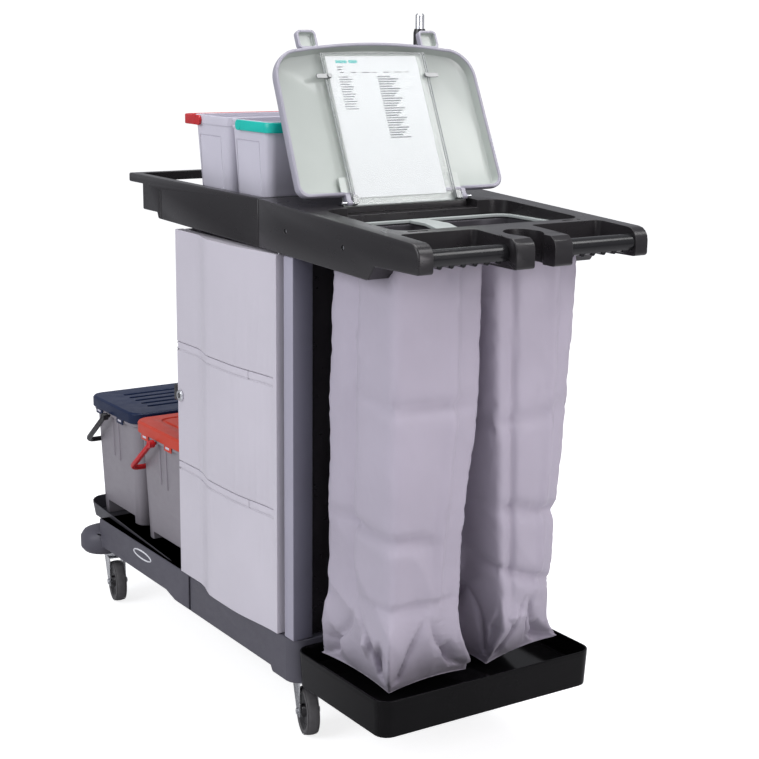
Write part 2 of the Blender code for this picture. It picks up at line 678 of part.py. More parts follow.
def make_lower_bucket(name, materials, lid_material, bail_material):
    """A deep bucket on corner feet, with a skirted lid and a hanging bail."""
    centre = LOWER_PLACES[name]
    low = BUCKET_FLOOR
    wall = 0.003
    rings = [
        rect_ring(centre, (0.1125, 0.1950), 0.022, low),
        rect_ring(centre, (0.1225, 0.2050), 0.026, 0.468),
        rect_ring(centre, (0.1275, 0.2135), 0.030, 0.470),
        rect_ring(centre, (0.1275, 0.2135), 0.030, 0.482),
        rect_ring(centre, (0.1195, 0.2020), 0.023, 0.482),
        rect_ring(centre, (0.1130 - wall, 0.1960 - wall), 0.019, low + 0.040),
    ]
    bucket = loft(name + "_bucket", rings, materials["tub"])
    for axis, half in (("x", (0.078, 0.30)), ("y", (0.30, 0.150))):
        start = (centre[0] - half[0], centre[1] - half[1], 0.10)
        end = (centre[0] + half[0], centre[1] + half[1], low + FOOT_HEIGHT)
        boolean(bucket, box("cut_" + name + "_feet_" + axis, start, end))
    lid_rings = [
        rect_ring(centre, (0.1283, 0.2150), 0.031, 0.4823),
        rect_ring(centre, (0.1283, 0.2150), 0.031, 0.4780),
        rect_ring(centre, (0.1310, 0.2180), 0.033, 0.4780),
        rect_ring(centre, (0.1310, 0.2180), 0.033, 0.5010),
        rect_ring(centre, (0.1270, 0.2140), 0.029, 0.5050),
    ]
    loft(name + "_bucket_lid", lid_rings, lid_material)
    make_bail(name, centre, bail_material)


def make_bail(name, centre, material):
    """A round wire handle: two arms down the short sides and a bar along the long one."""
    pivot = Vector((centre[0] + BAIL_PIVOT[0], 0, BAIL_PIVOT[1]))
    bar = Vector((centre[0] + BAIL_BAR[0], 0, BAIL_BAR[1]))
    along = (bar - pivot).normalized()
    near = Vector((0, centre[1] - BAIL_SIDE, 0))
    far = Vector((0, centre[1] + BAIL_SIDE, 0))
    bend = 0.020
    path = [pivot + near]
    for step in range(5):
        angle = math.radians(90 * step / 4)
        inward = Vector((0, bend * (1 - math.cos(angle)), 0))
        path.append(bar + near - along * bend * (1 - math.sin(angle)) + inward)
    path += [Vector((point.x, 2 * centre[1] - point.y, point.z)) for point in reversed(path)]
    bail = bar_along(name + "_bucket_bail", path, 0.0060, 0.0060, material, 0.0045)
    for side, offset in ((-1, near), (1, far)):
        hub_start = pivot + offset - Vector((0, side * 0.0085, 0))
        hub_end = pivot + offset + Vector((0, side * 0.0055, 0))
        boolean(bail, cylinder("join_bail_hub", 0.0090, hub_start, hub_end, steps=16), "UNION")
        pin_start = pivot + offset - Vector((0, side * 0.0142, 0))
        boolean(bail, cylinder("join_bail_pin", 0.0040, pin_start, pivot + offset, steps=12), "UNION")
    set_origin(bail, (pivot.x, centre[1], pivot.z))
    return bail


UPPER_PLACES = {"rear": (back(0.803), -0.085), "front": (back(0.644), -0.085)}
PAIL_FLOOR = DECK_FLOOR + GAP
PAIL_TOP = 1.222
PAIL_BAILS = {"rear": (-0.045, -0.1150), "front": (-0.030, 0.0905)}
PAIL_SIDE = 0.1365
PAIL_BAIL_Z = 1.211


def make_pail(name, materials, bail_material):
    """A small tapered pail on the deck, with a flat bail folded down round its rim."""
    centre = UPPER_PLACES[name]
    rings = [
        rect_ring(centre, (0.0640, 0.1210), 0.016, PAIL_FLOOR),
        rect_ring(centre, (0.0655, 0.1225), 0.018, PAIL_FLOOR + 0.004),
        rect_ring(centre, (0.0755, 0.1305), 0.020, 1.202),
        rect_ring(centre, (0.0785, 0.1335), 0.022, 1.205),
        rect_ring(centre, (0.0785, 0.1335), 0.022, PAIL_TOP),
        rect_ring(centre, (0.0745, 0.1295), 0.018, PAIL_TOP),
        rect_ring(centre, (0.0630, 0.1200), 0.015, PAIL_FLOOR + 0.003),
    ]
    loft(name + "_pail", rings, materials["tub"])
    pivot_x, bar_x = PAIL_BAILS[name]
    toward = 1 if bar_x > pivot_x else -1
    bend = 0.018
    near_y, middle = centre[1] - PAIL_SIDE, centre[1]
    path = [Vector((centre[0] + pivot_x, near_y, PAIL_BAIL_Z))]
    for step in range(5):
        angle = math.radians(90 * step / 4)
        x = centre[0] + bar_x - toward * bend * (1 - math.sin(angle))
        path.append(Vector((x, near_y + bend * (1 - math.cos(angle)), PAIL_BAIL_Z)))
    path += [Vector((point.x, 2 * middle - point.y, point.z)) for point in reversed(path)]
    bail = bar_along(name + "_pail_bail", path, 0.0020, 0.0100, bail_material, 0.0015)
    for side in (-1, 1):
        start = (centre[0] + pivot_x, middle + side * (PAIL_SIDE - 0.0025), PAIL_BAIL_Z)
        end = (centre[0] + pivot_x, middle + side * (PAIL_SIDE + 0.0025), PAIL_BAIL_Z)
        boolean(bail, cylinder("join_pail_hub", 0.0105, start, end, steps=14), "UNION")
    set_origin(bail, (centre[0] + pivot_x, middle, PAIL_BAIL_Z))


# ---------------------------------------------------------------- castors and pole

CASTORS = {
    "rear_near": (back(1.3975), -0.195, -11),
    "rear_far": (back(1.3975), 0.195, -30),
    "front_near": (back(0.4858), -0.183, -16),
    "front_far": (back(0.4858), 0.183, -12),
}


def make_castor(name, materials):
    """A swivelling fork with its axle, a hub and a tyre; the fork's empty is the swivel axis."""
    x, y, turn = CASTORS[name]
    swivel = bpy.data.objects.new("swivel_" + name, None)
    bpy.context.scene.collection.objects.link(swivel)
    swivel.location = (x, y, 0)
    swivel.rotation_euler = (0, 0, math.radians(turn))
    crown, plate, foot_z = 0.1120, 0.003, 0.040
    leg = 0.0205
    inner = leg - plate
    top_x = (-0.022, 0.034)
    foot_x = (WHEEL_TRAIL - 0.009, WHEEL_TRAIL + 0.009)
    rings = []
    for i in (0, 1):
        top, foot = top_x[i], foot_x[i]
        rings.append([(top, leg, crown), (top, -leg, crown), (foot, -leg, foot_z), (foot, -inner, foot_z),
                      (top, -inner, crown - plate), (top, inner, crown - plate), (foot, inner, foot_z),
                      (foot, leg, foot_z)])
    fork = fork_body("castor_fork_" + name, rings, materials["zinc"])
    axle_y = leg + 0.004
    axle_ends = [(WHEEL_TRAIL, y, WHEEL_RADIUS) for y in (-axle_y, axle_y)]
    guides = [
        cylinder("join_swivel_head", 0.023, (0, 0, crown - 0.001), (0, 0, CASTOR_TOP - GAP)),
        cylinder("join_axle", 0.0040, *axle_ends, steps=12),
    ]
    for guide in guides:
        hang_on(guide, swivel)
        boolean(fork, guide, "UNION")
    hub_profile = [(0.0045, -0.0150), (0.0130, -0.0150), (0.0150, -0.0080), (0.0340, -0.0070),
                   (0.0385, -0.0115), (0.0385, 0.0115), (0.0340, 0.0070), (0.0150, 0.0080),
                   (0.0130, 0.0150), (0.0045, 0.0150)]
    hub = turned_ring("castor_hub_" + name, hub_profile, materials["black"])
    tyre_profile = [(0.0388, -0.0120), (0.0450, -0.0130), (0.0490, -0.0100), (WHEEL_RADIUS, -0.0040),
                    (WHEEL_RADIUS, 0.0040), (0.0490, 0.0100), (0.0450, 0.0130), (0.0388, 0.0120)]
    tyre = turned_ring("castor_tyre_" + name, tyre_profile, materials["tyre"])
    hang_on(fork, swivel)
    for item in (hub, tyre):
        hang_on(item, swivel, (WHEEL_TRAIL, 0, WHEEL_RADIUS))


def fork_body(name, rings, material):
    """A bent plate: a flat crown and two tapering legs, from two mirrored section rings."""
    bm = bmesh.new()
    rows = [[bm.verts.new(point) for point in ring] for ring in rings]
    for i in range(8):
        j = (i + 1) % 8
        bm.faces.new((rows[0][i], rows[0][j], rows[1][j], rows[1][i]))
    for row in rows:
        bm.faces.new((row[0], row[1], row[4], row[5]))
        bm.faces.new((row[1], row[2], row[3], row[4]))
        bm.faces.new((row[5], row[6], row[7], row[0]))
    return from_bmesh(name, bm, material)


POLE_X = back(0.759)
POLE_Y = 0.2670
POLE_RADIUS = 0.0110
POLE_WALL = 0.0012
POLE_BORE = 0.0115
POLE_HOLDER_RADIUS = 0.0140
POLE_LOW = 0.1703
POLE_HIGH = 1.3440
POLE_TIP = 1.4300
INNER_TUBE_LOW = 0.72


def make_pole(materials):
    """A telescopic mop pole that stands in a foot cup and passes through a ring on the deck."""
    black = materials["black"]
    holder = POLE_HOLDER_RADIUS
    cup = cylinder("pole_cup", holder, (POLE_X, POLE_Y, 0.165), (POLE_X, POLE_Y, 0.205), black)
    cup_plate = box("join_cup_plate", (POLE_X - 0.020, 0.2493, 0.160), (POLE_X + 0.020, 0.2550, 0.210))
    boolean(cup, cup_plate, "UNION")
    boolean(cup, cylinder("cut_cup_bore", POLE_BORE, (POLE_X, POLE_Y, 0.170), (POLE_X, POLE_Y, 0.30)))
    ring = cylinder("pole_ring", holder, (POLE_X, POLE_Y, 1.035), (POLE_X, POLE_Y, 1.053), black)
    ring_plate = box("join_ring_plate", (POLE_X - 0.018, 0.2523, 1.025), (POLE_X + 0.018, 0.2550, 1.063))
    boolean(ring, ring_plate, "UNION")
    boolean(ring, cylinder("cut_ring_bore", POLE_BORE, (POLE_X, POLE_Y, 1.0), (POLE_X, POLE_Y, 1.10)))
    inside = POLE_RADIUS - POLE_WALL
    tube = [(POLE_RADIUS, POLE_LOW), (POLE_RADIUS, POLE_HIGH), (inside, POLE_HIGH), (inside, POLE_LOW)]
    turned_up("pole_tube", tube, materials["alu"])
    turned_up("pole_collar", [(0.0115 - 0.0016, 1.3443), (0.0132, 1.3443), (0.0135, 1.3500), (0.0135, 1.3900),
                              (0.0115, 1.3980), (0.0099, 1.3980)], materials["black"])
    inner = [(0.0094, INNER_TUBE_LOW), (0.0094, POLE_TIP - 0.0030), (0.0070, POLE_TIP)]
    rings = [[(POLE_X + a, POLE_Y + b, z) for a, b in circle_points(radius)] for radius, z in inner]
    loft("pole_inner_tube", rings, materials["alu"])


def turned_up(name, profile, material):
    """Turn a closed (radius, z) profile about the pole's upright axis."""
    rings = []
    for i in range(ROUND):
        angle = 2 * math.pi * i / ROUND
        rings.append([(POLE_X + r * math.cos(angle), POLE_Y + r * math.sin(angle), z) for r, z in profile])
    return loft(name, rings, material, close=True)


# ---------------------------------------------------------------- assembly

def build():
    clear_scene()
    materials = make_materials()
    make_chassis(materials)
    make_bucket_tray(materials)
    make_bag_tray(materials)
    make_posts(materials)
    make_panels(materials)
    make_door(materials)
    make_lock(materials)
    make_deck(materials)
    make_handle_frame(materials)
    make_screws(materials)
    make_grips(materials)
    make_bag_rail(materials)
    make_bags(materials)
    make_lid(materials)
    make_cover(materials)
    make_lower_bucket("rear", materials, materials["navy"], materials["black"])
    make_lower_bucket("front", materials, materials["orange"], materials["red"])
    make_pail("rear", materials, materials["red"])
    make_pail("front", materials, materials["teal"])
    for name in CASTORS:
        make_castor(name, materials)
    make_pole(materials)


build()
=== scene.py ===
import functools
import json
import math

import bmesh
import bpy
from mathutils import Matrix, Vector, noise


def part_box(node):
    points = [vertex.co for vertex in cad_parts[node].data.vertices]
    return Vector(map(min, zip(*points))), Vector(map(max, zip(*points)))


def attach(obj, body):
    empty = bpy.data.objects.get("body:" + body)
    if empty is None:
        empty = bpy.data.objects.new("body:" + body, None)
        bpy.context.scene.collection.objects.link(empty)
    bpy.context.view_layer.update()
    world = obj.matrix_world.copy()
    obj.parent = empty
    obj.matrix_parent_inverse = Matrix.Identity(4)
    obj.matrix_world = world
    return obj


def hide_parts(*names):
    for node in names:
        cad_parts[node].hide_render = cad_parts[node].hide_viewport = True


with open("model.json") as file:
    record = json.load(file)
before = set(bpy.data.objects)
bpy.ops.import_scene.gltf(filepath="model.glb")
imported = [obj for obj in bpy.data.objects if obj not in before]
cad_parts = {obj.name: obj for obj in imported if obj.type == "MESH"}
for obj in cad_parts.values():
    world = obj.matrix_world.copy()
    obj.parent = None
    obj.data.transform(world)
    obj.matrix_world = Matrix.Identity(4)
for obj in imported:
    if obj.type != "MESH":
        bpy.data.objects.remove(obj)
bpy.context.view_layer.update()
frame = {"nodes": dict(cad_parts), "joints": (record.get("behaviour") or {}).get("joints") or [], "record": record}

# Housekeeping cart. Metres, +Z up; the push handle is at +X and the cabinet door faces -Y.

UP = Vector((0, 0, 1))
CORNERS = ("rear_near", "rear_far", "front_near", "front_far")
SIDES = ((-1, "near"), (1, "far"))
# Edges flatter than this, in degrees, are shaded as smooth.
SHARP_ANGLE = 40
# The camera: lens in millimetres, place, and its yaw, pitch and roll in radians.
CAMERA_LENS = 75.57
CAMERA_PLACE = (2.8657, -1.7269, 1.4070)
CAMERA_TURNS = (0.9888, 0.21945, 0.01023)
# Strength of the surroundings' light, and of the floor's own white towards the camera.
AMBIENT = 0.42
FLOOR_GLOW = 0.80
# The door's flat outer face and the tops of its two finger grooves.
DOOR_FLAT_Y = -0.2510
DOOR_GROOVES = (0.741, 0.477)
# Moulded step lines: along the deck, along the base, and how deep the base's line starts.
DECK_STEP_X = -0.2380
BASE_LINE_X = -0.131
BASE_LINE_Y = 0.2476
BADGE = (-0.374, -0.2490, 0.1985)
HOOK_PIN = Vector((0.5528, -0.2000, 0.9870))
# The lower buckets: floor height, half width there, and how much wider and higher the rim is.
BUCKET_FLOOR = 0.2058
BUCKET_HALF = 0.195
BUCKET_SPREAD, BUCKET_RISE = 0.010, 0.2622
# The open lid, measured up from its hinge in its own plane, and its lean from upright.
LID_BOTTOM, LID_TOP, LID_HALF = 0.016, 0.3095, 0.236
LID_TILT = math.radians(24)
# The sheet in the lid: width, height and its top edge's place up the lid; and the turn clips' place.
PAPER_WIDE, PAPER_TALL, PAPER_TOP = 0.210, 0.285, 0.297
CLIP_UP = 0.255


# ---------------- places read from the frame, and small sums

@functools.cache
def corners_of(node):
    low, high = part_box(node)
    return tuple(low), tuple(high)


def low_of(node):
    return Vector(corners_of(node)[0])


def high_of(node):
    return Vector(corners_of(node)[1])


def middle_of(node):
    return (low_of(node) + high_of(node)) / 2


def body_of_node(node):
    bodies = frame["record"]["behaviour"]["bodies"]
    return next(body for body, members in bodies.items() if node in members)


def ramp(value, start, length):
    """Rises from 0 to 1 while a value goes on from start by length."""
    return min(max((value - start) / length, 0.0), 1.0)


JOINTS = {joint["name"]: joint for joint in frame["joints"]}


def joint_place(name):
    return Vector(JOINTS[name]["pos_m"])


def joint_axis(name):
    return Vector(JOINTS[name]["axis"])


# ---------------- materials

def start_material(name):
    material = bpy.data.materials.new(name)
    material.use_nodes = True
    tree = material.node_tree
    shader = tree.nodes["Principled BSDF"]
    return material, tree, shader


def set_inputs(node, **values):
    for key, value in values.items():
        node.inputs[key.replace("_", " ")].default_value = value


def add_node(tree, kind, **values):
    """A new node; values named in_ and a socket's name go to that socket."""
    node = tree.nodes.new(kind)
    for key, value in values.items():
        if key.startswith("in_"):
            set_inputs(node, **{key[3:]: value})
        else:
            setattr(node, key, value)
    return node


def object_coords(tree, stretch=(1, 1, 1)):
    coords = add_node(tree, "ShaderNodeTexCoord")
    mapping = add_node(tree, "ShaderNodeMapping", in_Scale=stretch)
    tree.links.new(coords.outputs["Object"], mapping.inputs["Vector"])
    return mapping.outputs["Vector"]


def noise_value(tree, vector, scale, detail=3.0, roughness=0.55):
    texture = add_node(tree, "ShaderNodeTexNoise", in_Scale=scale, in_Detail=detail, in_Roughness=roughness)
    tree.links.new(vector, texture.inputs["Vector"])
    return texture.outputs["Fac"]


def spread(tree, value, low, high):
    """Spreads the middle of a noise's range over low to high."""
    node = add_node(tree, "ShaderNodeMapRange", in_From_Min=0.3, in_From_Max=0.7)
    set_inputs(node, To_Min=low, To_Max=high)
    tree.links.new(value, node.inputs["Value"])
    return node.outputs["Result"]


def shaded(colour, factor):
    return (*[min(channel * factor, 1.0) for channel in colour], 1.0)


def tint_by(tree, shader, value, first, second):
    """Base colour that goes from the first colour to the second with a value."""
    mix = add_node(tree, "ShaderNodeMix", data_type="RGBA")
    for socket in mix.inputs:
        if socket.type == "RGBA":
            socket.default_value = first if socket.name == "A" else second
    tree.links.new(spread(tree, value, 0.0, 1.0), mix.inputs["Factor"])
    mixed = [socket for socket in mix.outputs if socket.type == "RGBA"][0]
    tree.links.new(mixed, shader.inputs["Base Color"])


def rough_by(tree, shader, value, low, high):
    tree.links.new(spread(tree, value, low, high), shader.inputs["Roughness"])


def bump(tree, shader, height, strength, distance):
    node = add_node(tree, "ShaderNodeBump", in_Strength=strength, in_Distance=distance)
    tree.links.new(height, node.inputs["Height"])
    tree.links.new(node.outputs["Normal"], shader.inputs["Normal"])


def plastic(name, colour, roughness, grain, mottle=0.06, coat=0.0, scuff=0.08, gloss=0.5):
    """Moulded plastic: spark-eroded grain, faint flow mottling and soft scuffs."""
    material, tree, shader = start_material(name)
    plain = object_coords(tree)
    clouds = noise_value(tree, plain, 7.0, 4.0)
    tint_by(tree, shader, clouds, shaded(colour, 1 - mottle), shaded(colour, 1 + mottle))
    marks = noise_value(tree, object_coords(tree, (3, 3, 5)), 12.0, 5.0, 0.65)
    rough_by(tree, shader, marks, roughness - scuff / 2, roughness + scuff)
    bump(tree, shader, noise_value(tree, plain, 900.0, 2.0), grain, 0.00025)
    set_inputs(shader, Coat_Weight=coat, Coat_Roughness=0.08, Specular_IOR_Level=gloss)
    return material


def metal(name, colour, roughness, stretch=(1, 1, 1)):
    """Plated or drawn metal: streaks along the drawing direction and small dull spots."""
    material, tree, shader = start_material(name)
    streaks = noise_value(tree, object_coords(tree, stretch), 120.0, 4.0)
    spots = noise_value(tree, object_coords(tree), 45.0, 5.0)
    tint_by(tree, shader, spots, shaded(colour, 0.86), shaded(colour, 1.05))
    rough_by(tree, shader, streaks, roughness * 0.7, roughness * 1.5)
    bump(tree, shader, streaks, 0.12, 0.0002)
    set_inputs(shader, Metallic=1.0)
    return material


def rubber(name, colour):
    """Dusty grey rubber with a fine grain."""
    material, tree, shader = start_material(name)
    plain = object_coords(tree)
    dust = noise_value(tree, plain, 60.0, 5.0)
    tint_by(tree, shader, dust, shaded(colour, 0.85), shaded(colour, 1.25))
    rough_by(tree, shader, dust, 0.5, 0.75)
    bump(tree, shader, noise_value(tree, plain, 700.0, 3.0), 0.3, 0.0003)
    return material


def bag_cloth(name, colour):
    """Coated polyester: a fine plain weave, soft sheen and worn creases."""
    material, tree, shader = start_material(name)
    uv = add_node(tree, "ShaderNodeUVMap")
    plain = object_coords(tree)
    clouds = noise_value(tree, plain, 5.0, 4.0)
    wear = noise_value(tree, plain, 38.0, 6.0, 0.7)
    tint_by(tree, shader, clouds, shaded(colour, 0.95), shaded(colour, 1.05))
    rough_by(tree, shader, wear, 0.42, 0.58)
    threads = []
    for direction in ("X", "Y"):
        wave = add_node(tree, "ShaderNodeTexWave", bands_direction=direction)
        set_inputs(wave, Scale=420.0, Distortion=0.6)
        tree.links.new(uv.outputs["UV"], wave.inputs["Vector"])
        threads.append(wave.outputs["Fac"])
    weave = add_node(tree, "ShaderNodeMath", operation="MULTIPLY")
    tree.links.new(threads[0], weave.inputs[0])
    tree.links.new(threads[1], weave.inputs[1])
    total = add_node(tree, "ShaderNodeMath", operation="MULTIPLY_ADD")
    total.inputs[1].default_value = 3.0
    tree.links.new(wear, total.inputs[0])
    tree.links.new(weave.outputs[0], total.inputs[2])
    bump(tree, shader, total.outputs[0], 0.35, 0.0006)
    set_inputs(shader, Sheen_Weight=0.15)
    return material


def clear_sheet(name):
    """Thin clear acrylic with faint wipe marks."""
    material, tree, shader = start_material(name)
    marks = noise_value(tree, object_coords(tree, (2, 12, 2)), 14.0, 5.0, 0.6)
    tint_by(tree, shader, marks, (0.60, 0.64, 0.63, 1), (0.72, 0.75, 0.74, 1))
    rough_by(tree, shader, marks, 0.03, 0.10)
    set_inputs(shader, Alpha=0.12, Coat_Weight=0.5, Coat_Roughness=0.03)
    return material


def printed_paper(name):
    """Office paper: fine fibres, faint tone."""
    material, tree, shader = start_material(name)
    fibres = noise_value(tree, object_coords(tree), 500.0, 4.0)
    tint_by(tree, shader, fibres, (0.70, 0.72, 0.72, 1), (0.76, 0.78, 0.78, 1))
    rough_by(tree, shader, fibres, 0.75, 0.9)
    bump(tree, shader, fibres, 0.2, 0.0001)
    return material


def ink(name, colour):
    """Speckled print."""
    material, tree, shader = start_material(name)
    speck = noise_value(tree, object_coords(tree), 900.0, 3.0)
    tint_by(tree, shader, speck, shaded(colour, 0.9), shaded(colour, 1.3))
    rough_by(tree, shader, speck, 0.7, 0.9)
    return material


def make_materials():
    return {
        "slate_plastic": plastic("chassis_slate", (0.083, 0.080, 0.100), 0.46, 0.35, gloss=0.4),
        "black_plastic": plastic("deck_black", (0.0145, 0.0130, 0.0145), 0.28, 0.3, 0.08, 0, 0.025, 0.48),
        "gloss_black": plastic("tray_gloss", (0.0040, 0.0038, 0.0042), 0.12, 0.05, 0.2, 0, 0.05, 0.10),
        "lilac_white_panel": plastic("door_white", (0.600, 0.570, 0.630), 0.34, 0.12, 0.02, coat=0.15),
        "lilac_post": plastic("post_lilac", (0.37, 0.355, 0.43), 0.36, 0.15, mottle=0.03),
        "lilac_grey_tub": plastic("tub_grey", (0.275, 0.255, 0.282), 0.42, 0.25, 0.05, gloss=0.4),
        "pan_black": plastic("pan_black", (0.055, 0.054, 0.064), 0.42, 0.25, mottle=0.1, gloss=0.3),
        "pail_tub": plastic("pail_lilac", (0.61, 0.59, 0.67), 0.38, 0.2, mottle=0.03),
        "pale_lid": plastic("lid_pale", (0.43, 0.465, 0.435), 0.26, 0.04, 0.03, 0.25, 0.006),
        "lid_rim": plastic("lid_lilac", (0.33, 0.32, 0.375), 0.30, 0.06, 0.03, 0.15, 0.03),
        "clear_sheet": clear_sheet("clear_sheet_look"),
        "paper": printed_paper("paper_look"),
        "bag_cloth": bag_cloth("bag_cloth_look", (0.46, 0.42, 0.50)),
        "grey_rail": plastic("rail_grey", (0.36, 0.39, 0.38), 0.4, 0.2),
        "navy_plastic": plastic("lid_navy", (0.0050, 0.0140, 0.0500), 0.36, 0.25, 0.1, gloss=0.28),
        "orange_plastic": plastic("lid_orange", (0.55, 0.046, 0.020), 0.38, 0.25, 0.05, gloss=0.4),
        "red_plastic": plastic("bail_red", (0.52, 0.012, 0.016), 0.33, 0.15),
        "teal_plastic": plastic("bail_teal", (0.0, 0.50, 0.42), 0.33, 0.15),
        "zinc_steel": metal("zinc_look", (0.72, 0.73, 0.75), 0.24),
        "aluminium": metal("aluminium_look", (0.86, 0.87, 0.89), 0.26, (6, 6, 0.4)),
        "grey_tyre": rubber("tyre_look", (0.110, 0.106, 0.108)),
        "post_end": plastic("post_slate", (0.150, 0.147, 0.190), 0.42, 0.2, mottle=0.04),
        "grip_black": plastic("grip_black", (0.009, 0.009, 0.010), 0.20, 0.08, 0.15, 0, 0.05, 0.4),
        "clear_edge": plastic("cover_edge", (0.22, 0.24, 0.24), 0.15, 0.05, coat=0.6, scuff=0.04),
        "clip_clear": plastic("clip_frosted", (0.16, 0.17, 0.17), 0.12, 0.05, coat=0.9, scuff=0.04),
        # The bags' inner face: painted shade, a dark colour standing for the shadow inside the bags under the
        # deck, not the cloth's own colour.
        "bag_inside_painted_shade": plastic("bag_inside_painted_shade", (0.055, 0.052, 0.060), 0.6, 0.3, gloss=0.2),
        "badge_white": plastic("badge_white", (0.80, 0.80, 0.84), 0.3, 0.1, mottle=0.03),
        "ink_grey": ink("ink_grey_look", (0.03, 0.03, 0.04)),
        "ink_pale": ink("ink_pale_look", (0.16, 0.17, 0.18)),
        "ink_teal": ink("ink_teal_look", (0.05, 0.45, 0.42)),
    }


SLOT_OF = {entry["node"]: entry["material_slot"] for entry in frame["record"]["subparts"]}
looks = make_materials()


# ---------------- mesh helpers

def finish_mesh(bm, name, angle=35):
    bmesh.ops.recalc_face_normals(bm, faces=bm.faces)
    mesh = bpy.data.meshes.new(name)
    bm.to_mesh(mesh)
    bm.free()
    mesh.shade_smooth()
    mesh.set_sharp_from_angle(angle=math.radians(angle))
    return mesh


def new_object(name, data):
    thing = bpy.data.objects.new(name, data)
    bpy.context.scene.collection.objects.link(thing)
    return thing


def add_piece(name, mesh, body, look, stands_for=()):
    piece = new_object(name, mesh)
    if not mesh.materials:
        mesh.materials.append(looks[look])
    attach(piece, body)
    if stands_for:
        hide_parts(*stands_for)
    return piece


def grid_faces(bm, rows, wrap_rows=False, caps=True):
    count = len(rows[0])
    pairs = list(zip(rows, rows[1:]))
    if wrap_rows:
        pairs.append((rows[-1], rows[0]))
    for low, high in pairs:
        for i in range(count):
            j = (i + 1) % count
            bm.faces.new((low[i], low[j], high[j], high[i]))
    if caps and not wrap_rows:
        bm.faces.new(list(reversed(rows[0])))
        bm.faces.new(rows[-1])


def loft_mesh(name, rings, close=False, angle=35):
    bm = bmesh.new()
    rows = [[bm.verts.new(point) for point in ring] for ring in rings]
    grid_faces(bm, rows, wrap_rows=close)
    return finish_mesh(bm, name, angle)


def rounded_rect(half_x, half_y, radius, steps=6):
    points = []
    for sign_x, sign_y, start in ((1, 1, 0), (-1, 1, 90), (-1, -1, 180), (1, -1, 270)):
        for step in range(steps + 1):
            angle = math.radians(start + 90 * step / steps)
            x = sign_x * (half_x - radius) + radius * math.cos(angle)
            y = sign_y * (half_y - radius) + radius * math.sin(angle)
            points.append((x, y))
    return points


def rect_ring(centre, half, radius, z):
    return [(centre[0] + x, centre[1] + y, z) for x, y in rounded_rect(*half, radius)]


def circle(radius, steps):
    turn = 2 * math.pi / steps
    return [(radius * math.cos(i * turn), radius * math.sin(i * turn)) for i in range(steps)]


def rod_mesh(name, radius, start, end, steps=20, edge=0.0006):
    """A round bar between two points with softened ends."""
    start, end = Vector(start), Vector(end)
    axis = (end - start).normalized()
    turn = axis.to_track_quat("Z", "Y").to_matrix()
    small = radius - edge
    rings = []
    for base, shift, r in ((start, 0, small), (start, edge, radius), (end, -edge, radius), (end, 0, small)):
        rings.append([base + axis * shift + turn @ Vector((x, y, 0)) for x, y in circle(r, steps)])
    return loft_mesh(name, rings)


def turned_mesh(name, profile, centre, axis, steps=40):
    """A closed (radius, along) profile turned about an axis through centre."""
    turn = Vector(axis).to_track_quat("Z", "Y").to_matrix()
    middle = Vector(centre)
    rings = []
    for i in range(steps):
        a = 2 * math.pi * i / steps
        rings.append([middle + turn @ Vector((r * math.cos(a), r * math.sin(a), t)) for r, t in profile])
    return loft_mesh(name, rings, close=True, angle=40)


def joined(name, meshes):
    """Several meshes as one."""
    bm = bmesh.new()
    for mesh in meshes:
        bm.from_mesh(mesh)
        bpy.data.meshes.remove(mesh)
    mesh = bpy.data.meshes.new(name)
    bm.to_mesh(mesh)
    bm.free()
    return mesh


def carve(piece, cutters):
    """Cuts closed meshes out of a piece and keeps the result as its mesh."""
    tools = []
    for index, mesh in enumerate(cutters):
        tool = new_object(piece.name + "_tool" + str(index), mesh)
        cut = piece.modifiers.new("cut" + str(index), "BOOLEAN")
        cut.operation = "DIFFERENCE"
        cut.solver = "EXACT"
        cut.object = tool
        tools.append(tool)
    shape = piece.evaluated_get(bpy.context.evaluated_depsgraph_get())
    carved = bpy.data.meshes.new_from_object(shape)
    piece.modifiers.clear()
    piece.data = carved
    for tool in tools:
        bpy.data.objects.remove(tool, do_unlink=True)


def softened(node, width, look=None, cutters=(), merge=0.00002):
    """A copy of a CAD node's shape, carved where asked, with its edges rounded as a mould leaves them."""
    source = frame["nodes"][node].data
    bm = bmesh.new()
    bm.from_mesh(source)
    for layer in list(bm.loops.layers.uv):
        bm.loops.layers.uv.remove(layer)
    bmesh.ops.remove_doubles(bm, verts=bm.verts, dist=merge)
    bmesh.ops.dissolve_limit(bm, angle_limit=math.radians(0.5), verts=bm.verts, edges=bm.edges)
    mesh = bpy.data.meshes.new(node + "_shape")
    bm.to_mesh(mesh)
    bm.free()
    mesh.materials.clear()
    mesh.shade_smooth()
    slot = SLOT_OF[node]
    piece = add_piece(node + "_shape", mesh, body_of_node(node), look or slot, (node,))
    if cutters:
        carve(piece, cutters)
        piece.data.materials.clear()
        piece.data.materials.append(looks[look or slot])
    piece.data.shade_smooth()
    piece.data.set_sharp_from_angle(angle=math.radians(SHARP_ANGLE))
    rounding = piece.modifiers.new("rounding", "BEVEL")
    rounding.width = width
    rounding.segments = 2
    rounding.limit_method = "ANGLE"
    rounding.angle_limit = math.radians(30)
    rounding.use_clamp_overlap = False
    rounding.harden_normals = True
    return piece


def block(low, high, corner=0.0):
    """A closed box with its upright edges rounded, used as a small part or as a cutter."""
    centre = ((low[0] + high[0]) / 2, (low[1] + high[1]) / 2)
    x, y = (high[0] - low[0]) / 2, (high[1] - low[1]) / 2
    outline = rounded_rect(x, y, corner, 3) if corner > 0 else [(x, y), (-x, y), (-x, -y), (x, -y)]
    rings = [[(centre[0] + u, centre[1] + v, z) for u, v in outline] for z in (low[2], high[2])]
    return loft_mesh("block", rings)


# ---------------- camera, light and floor

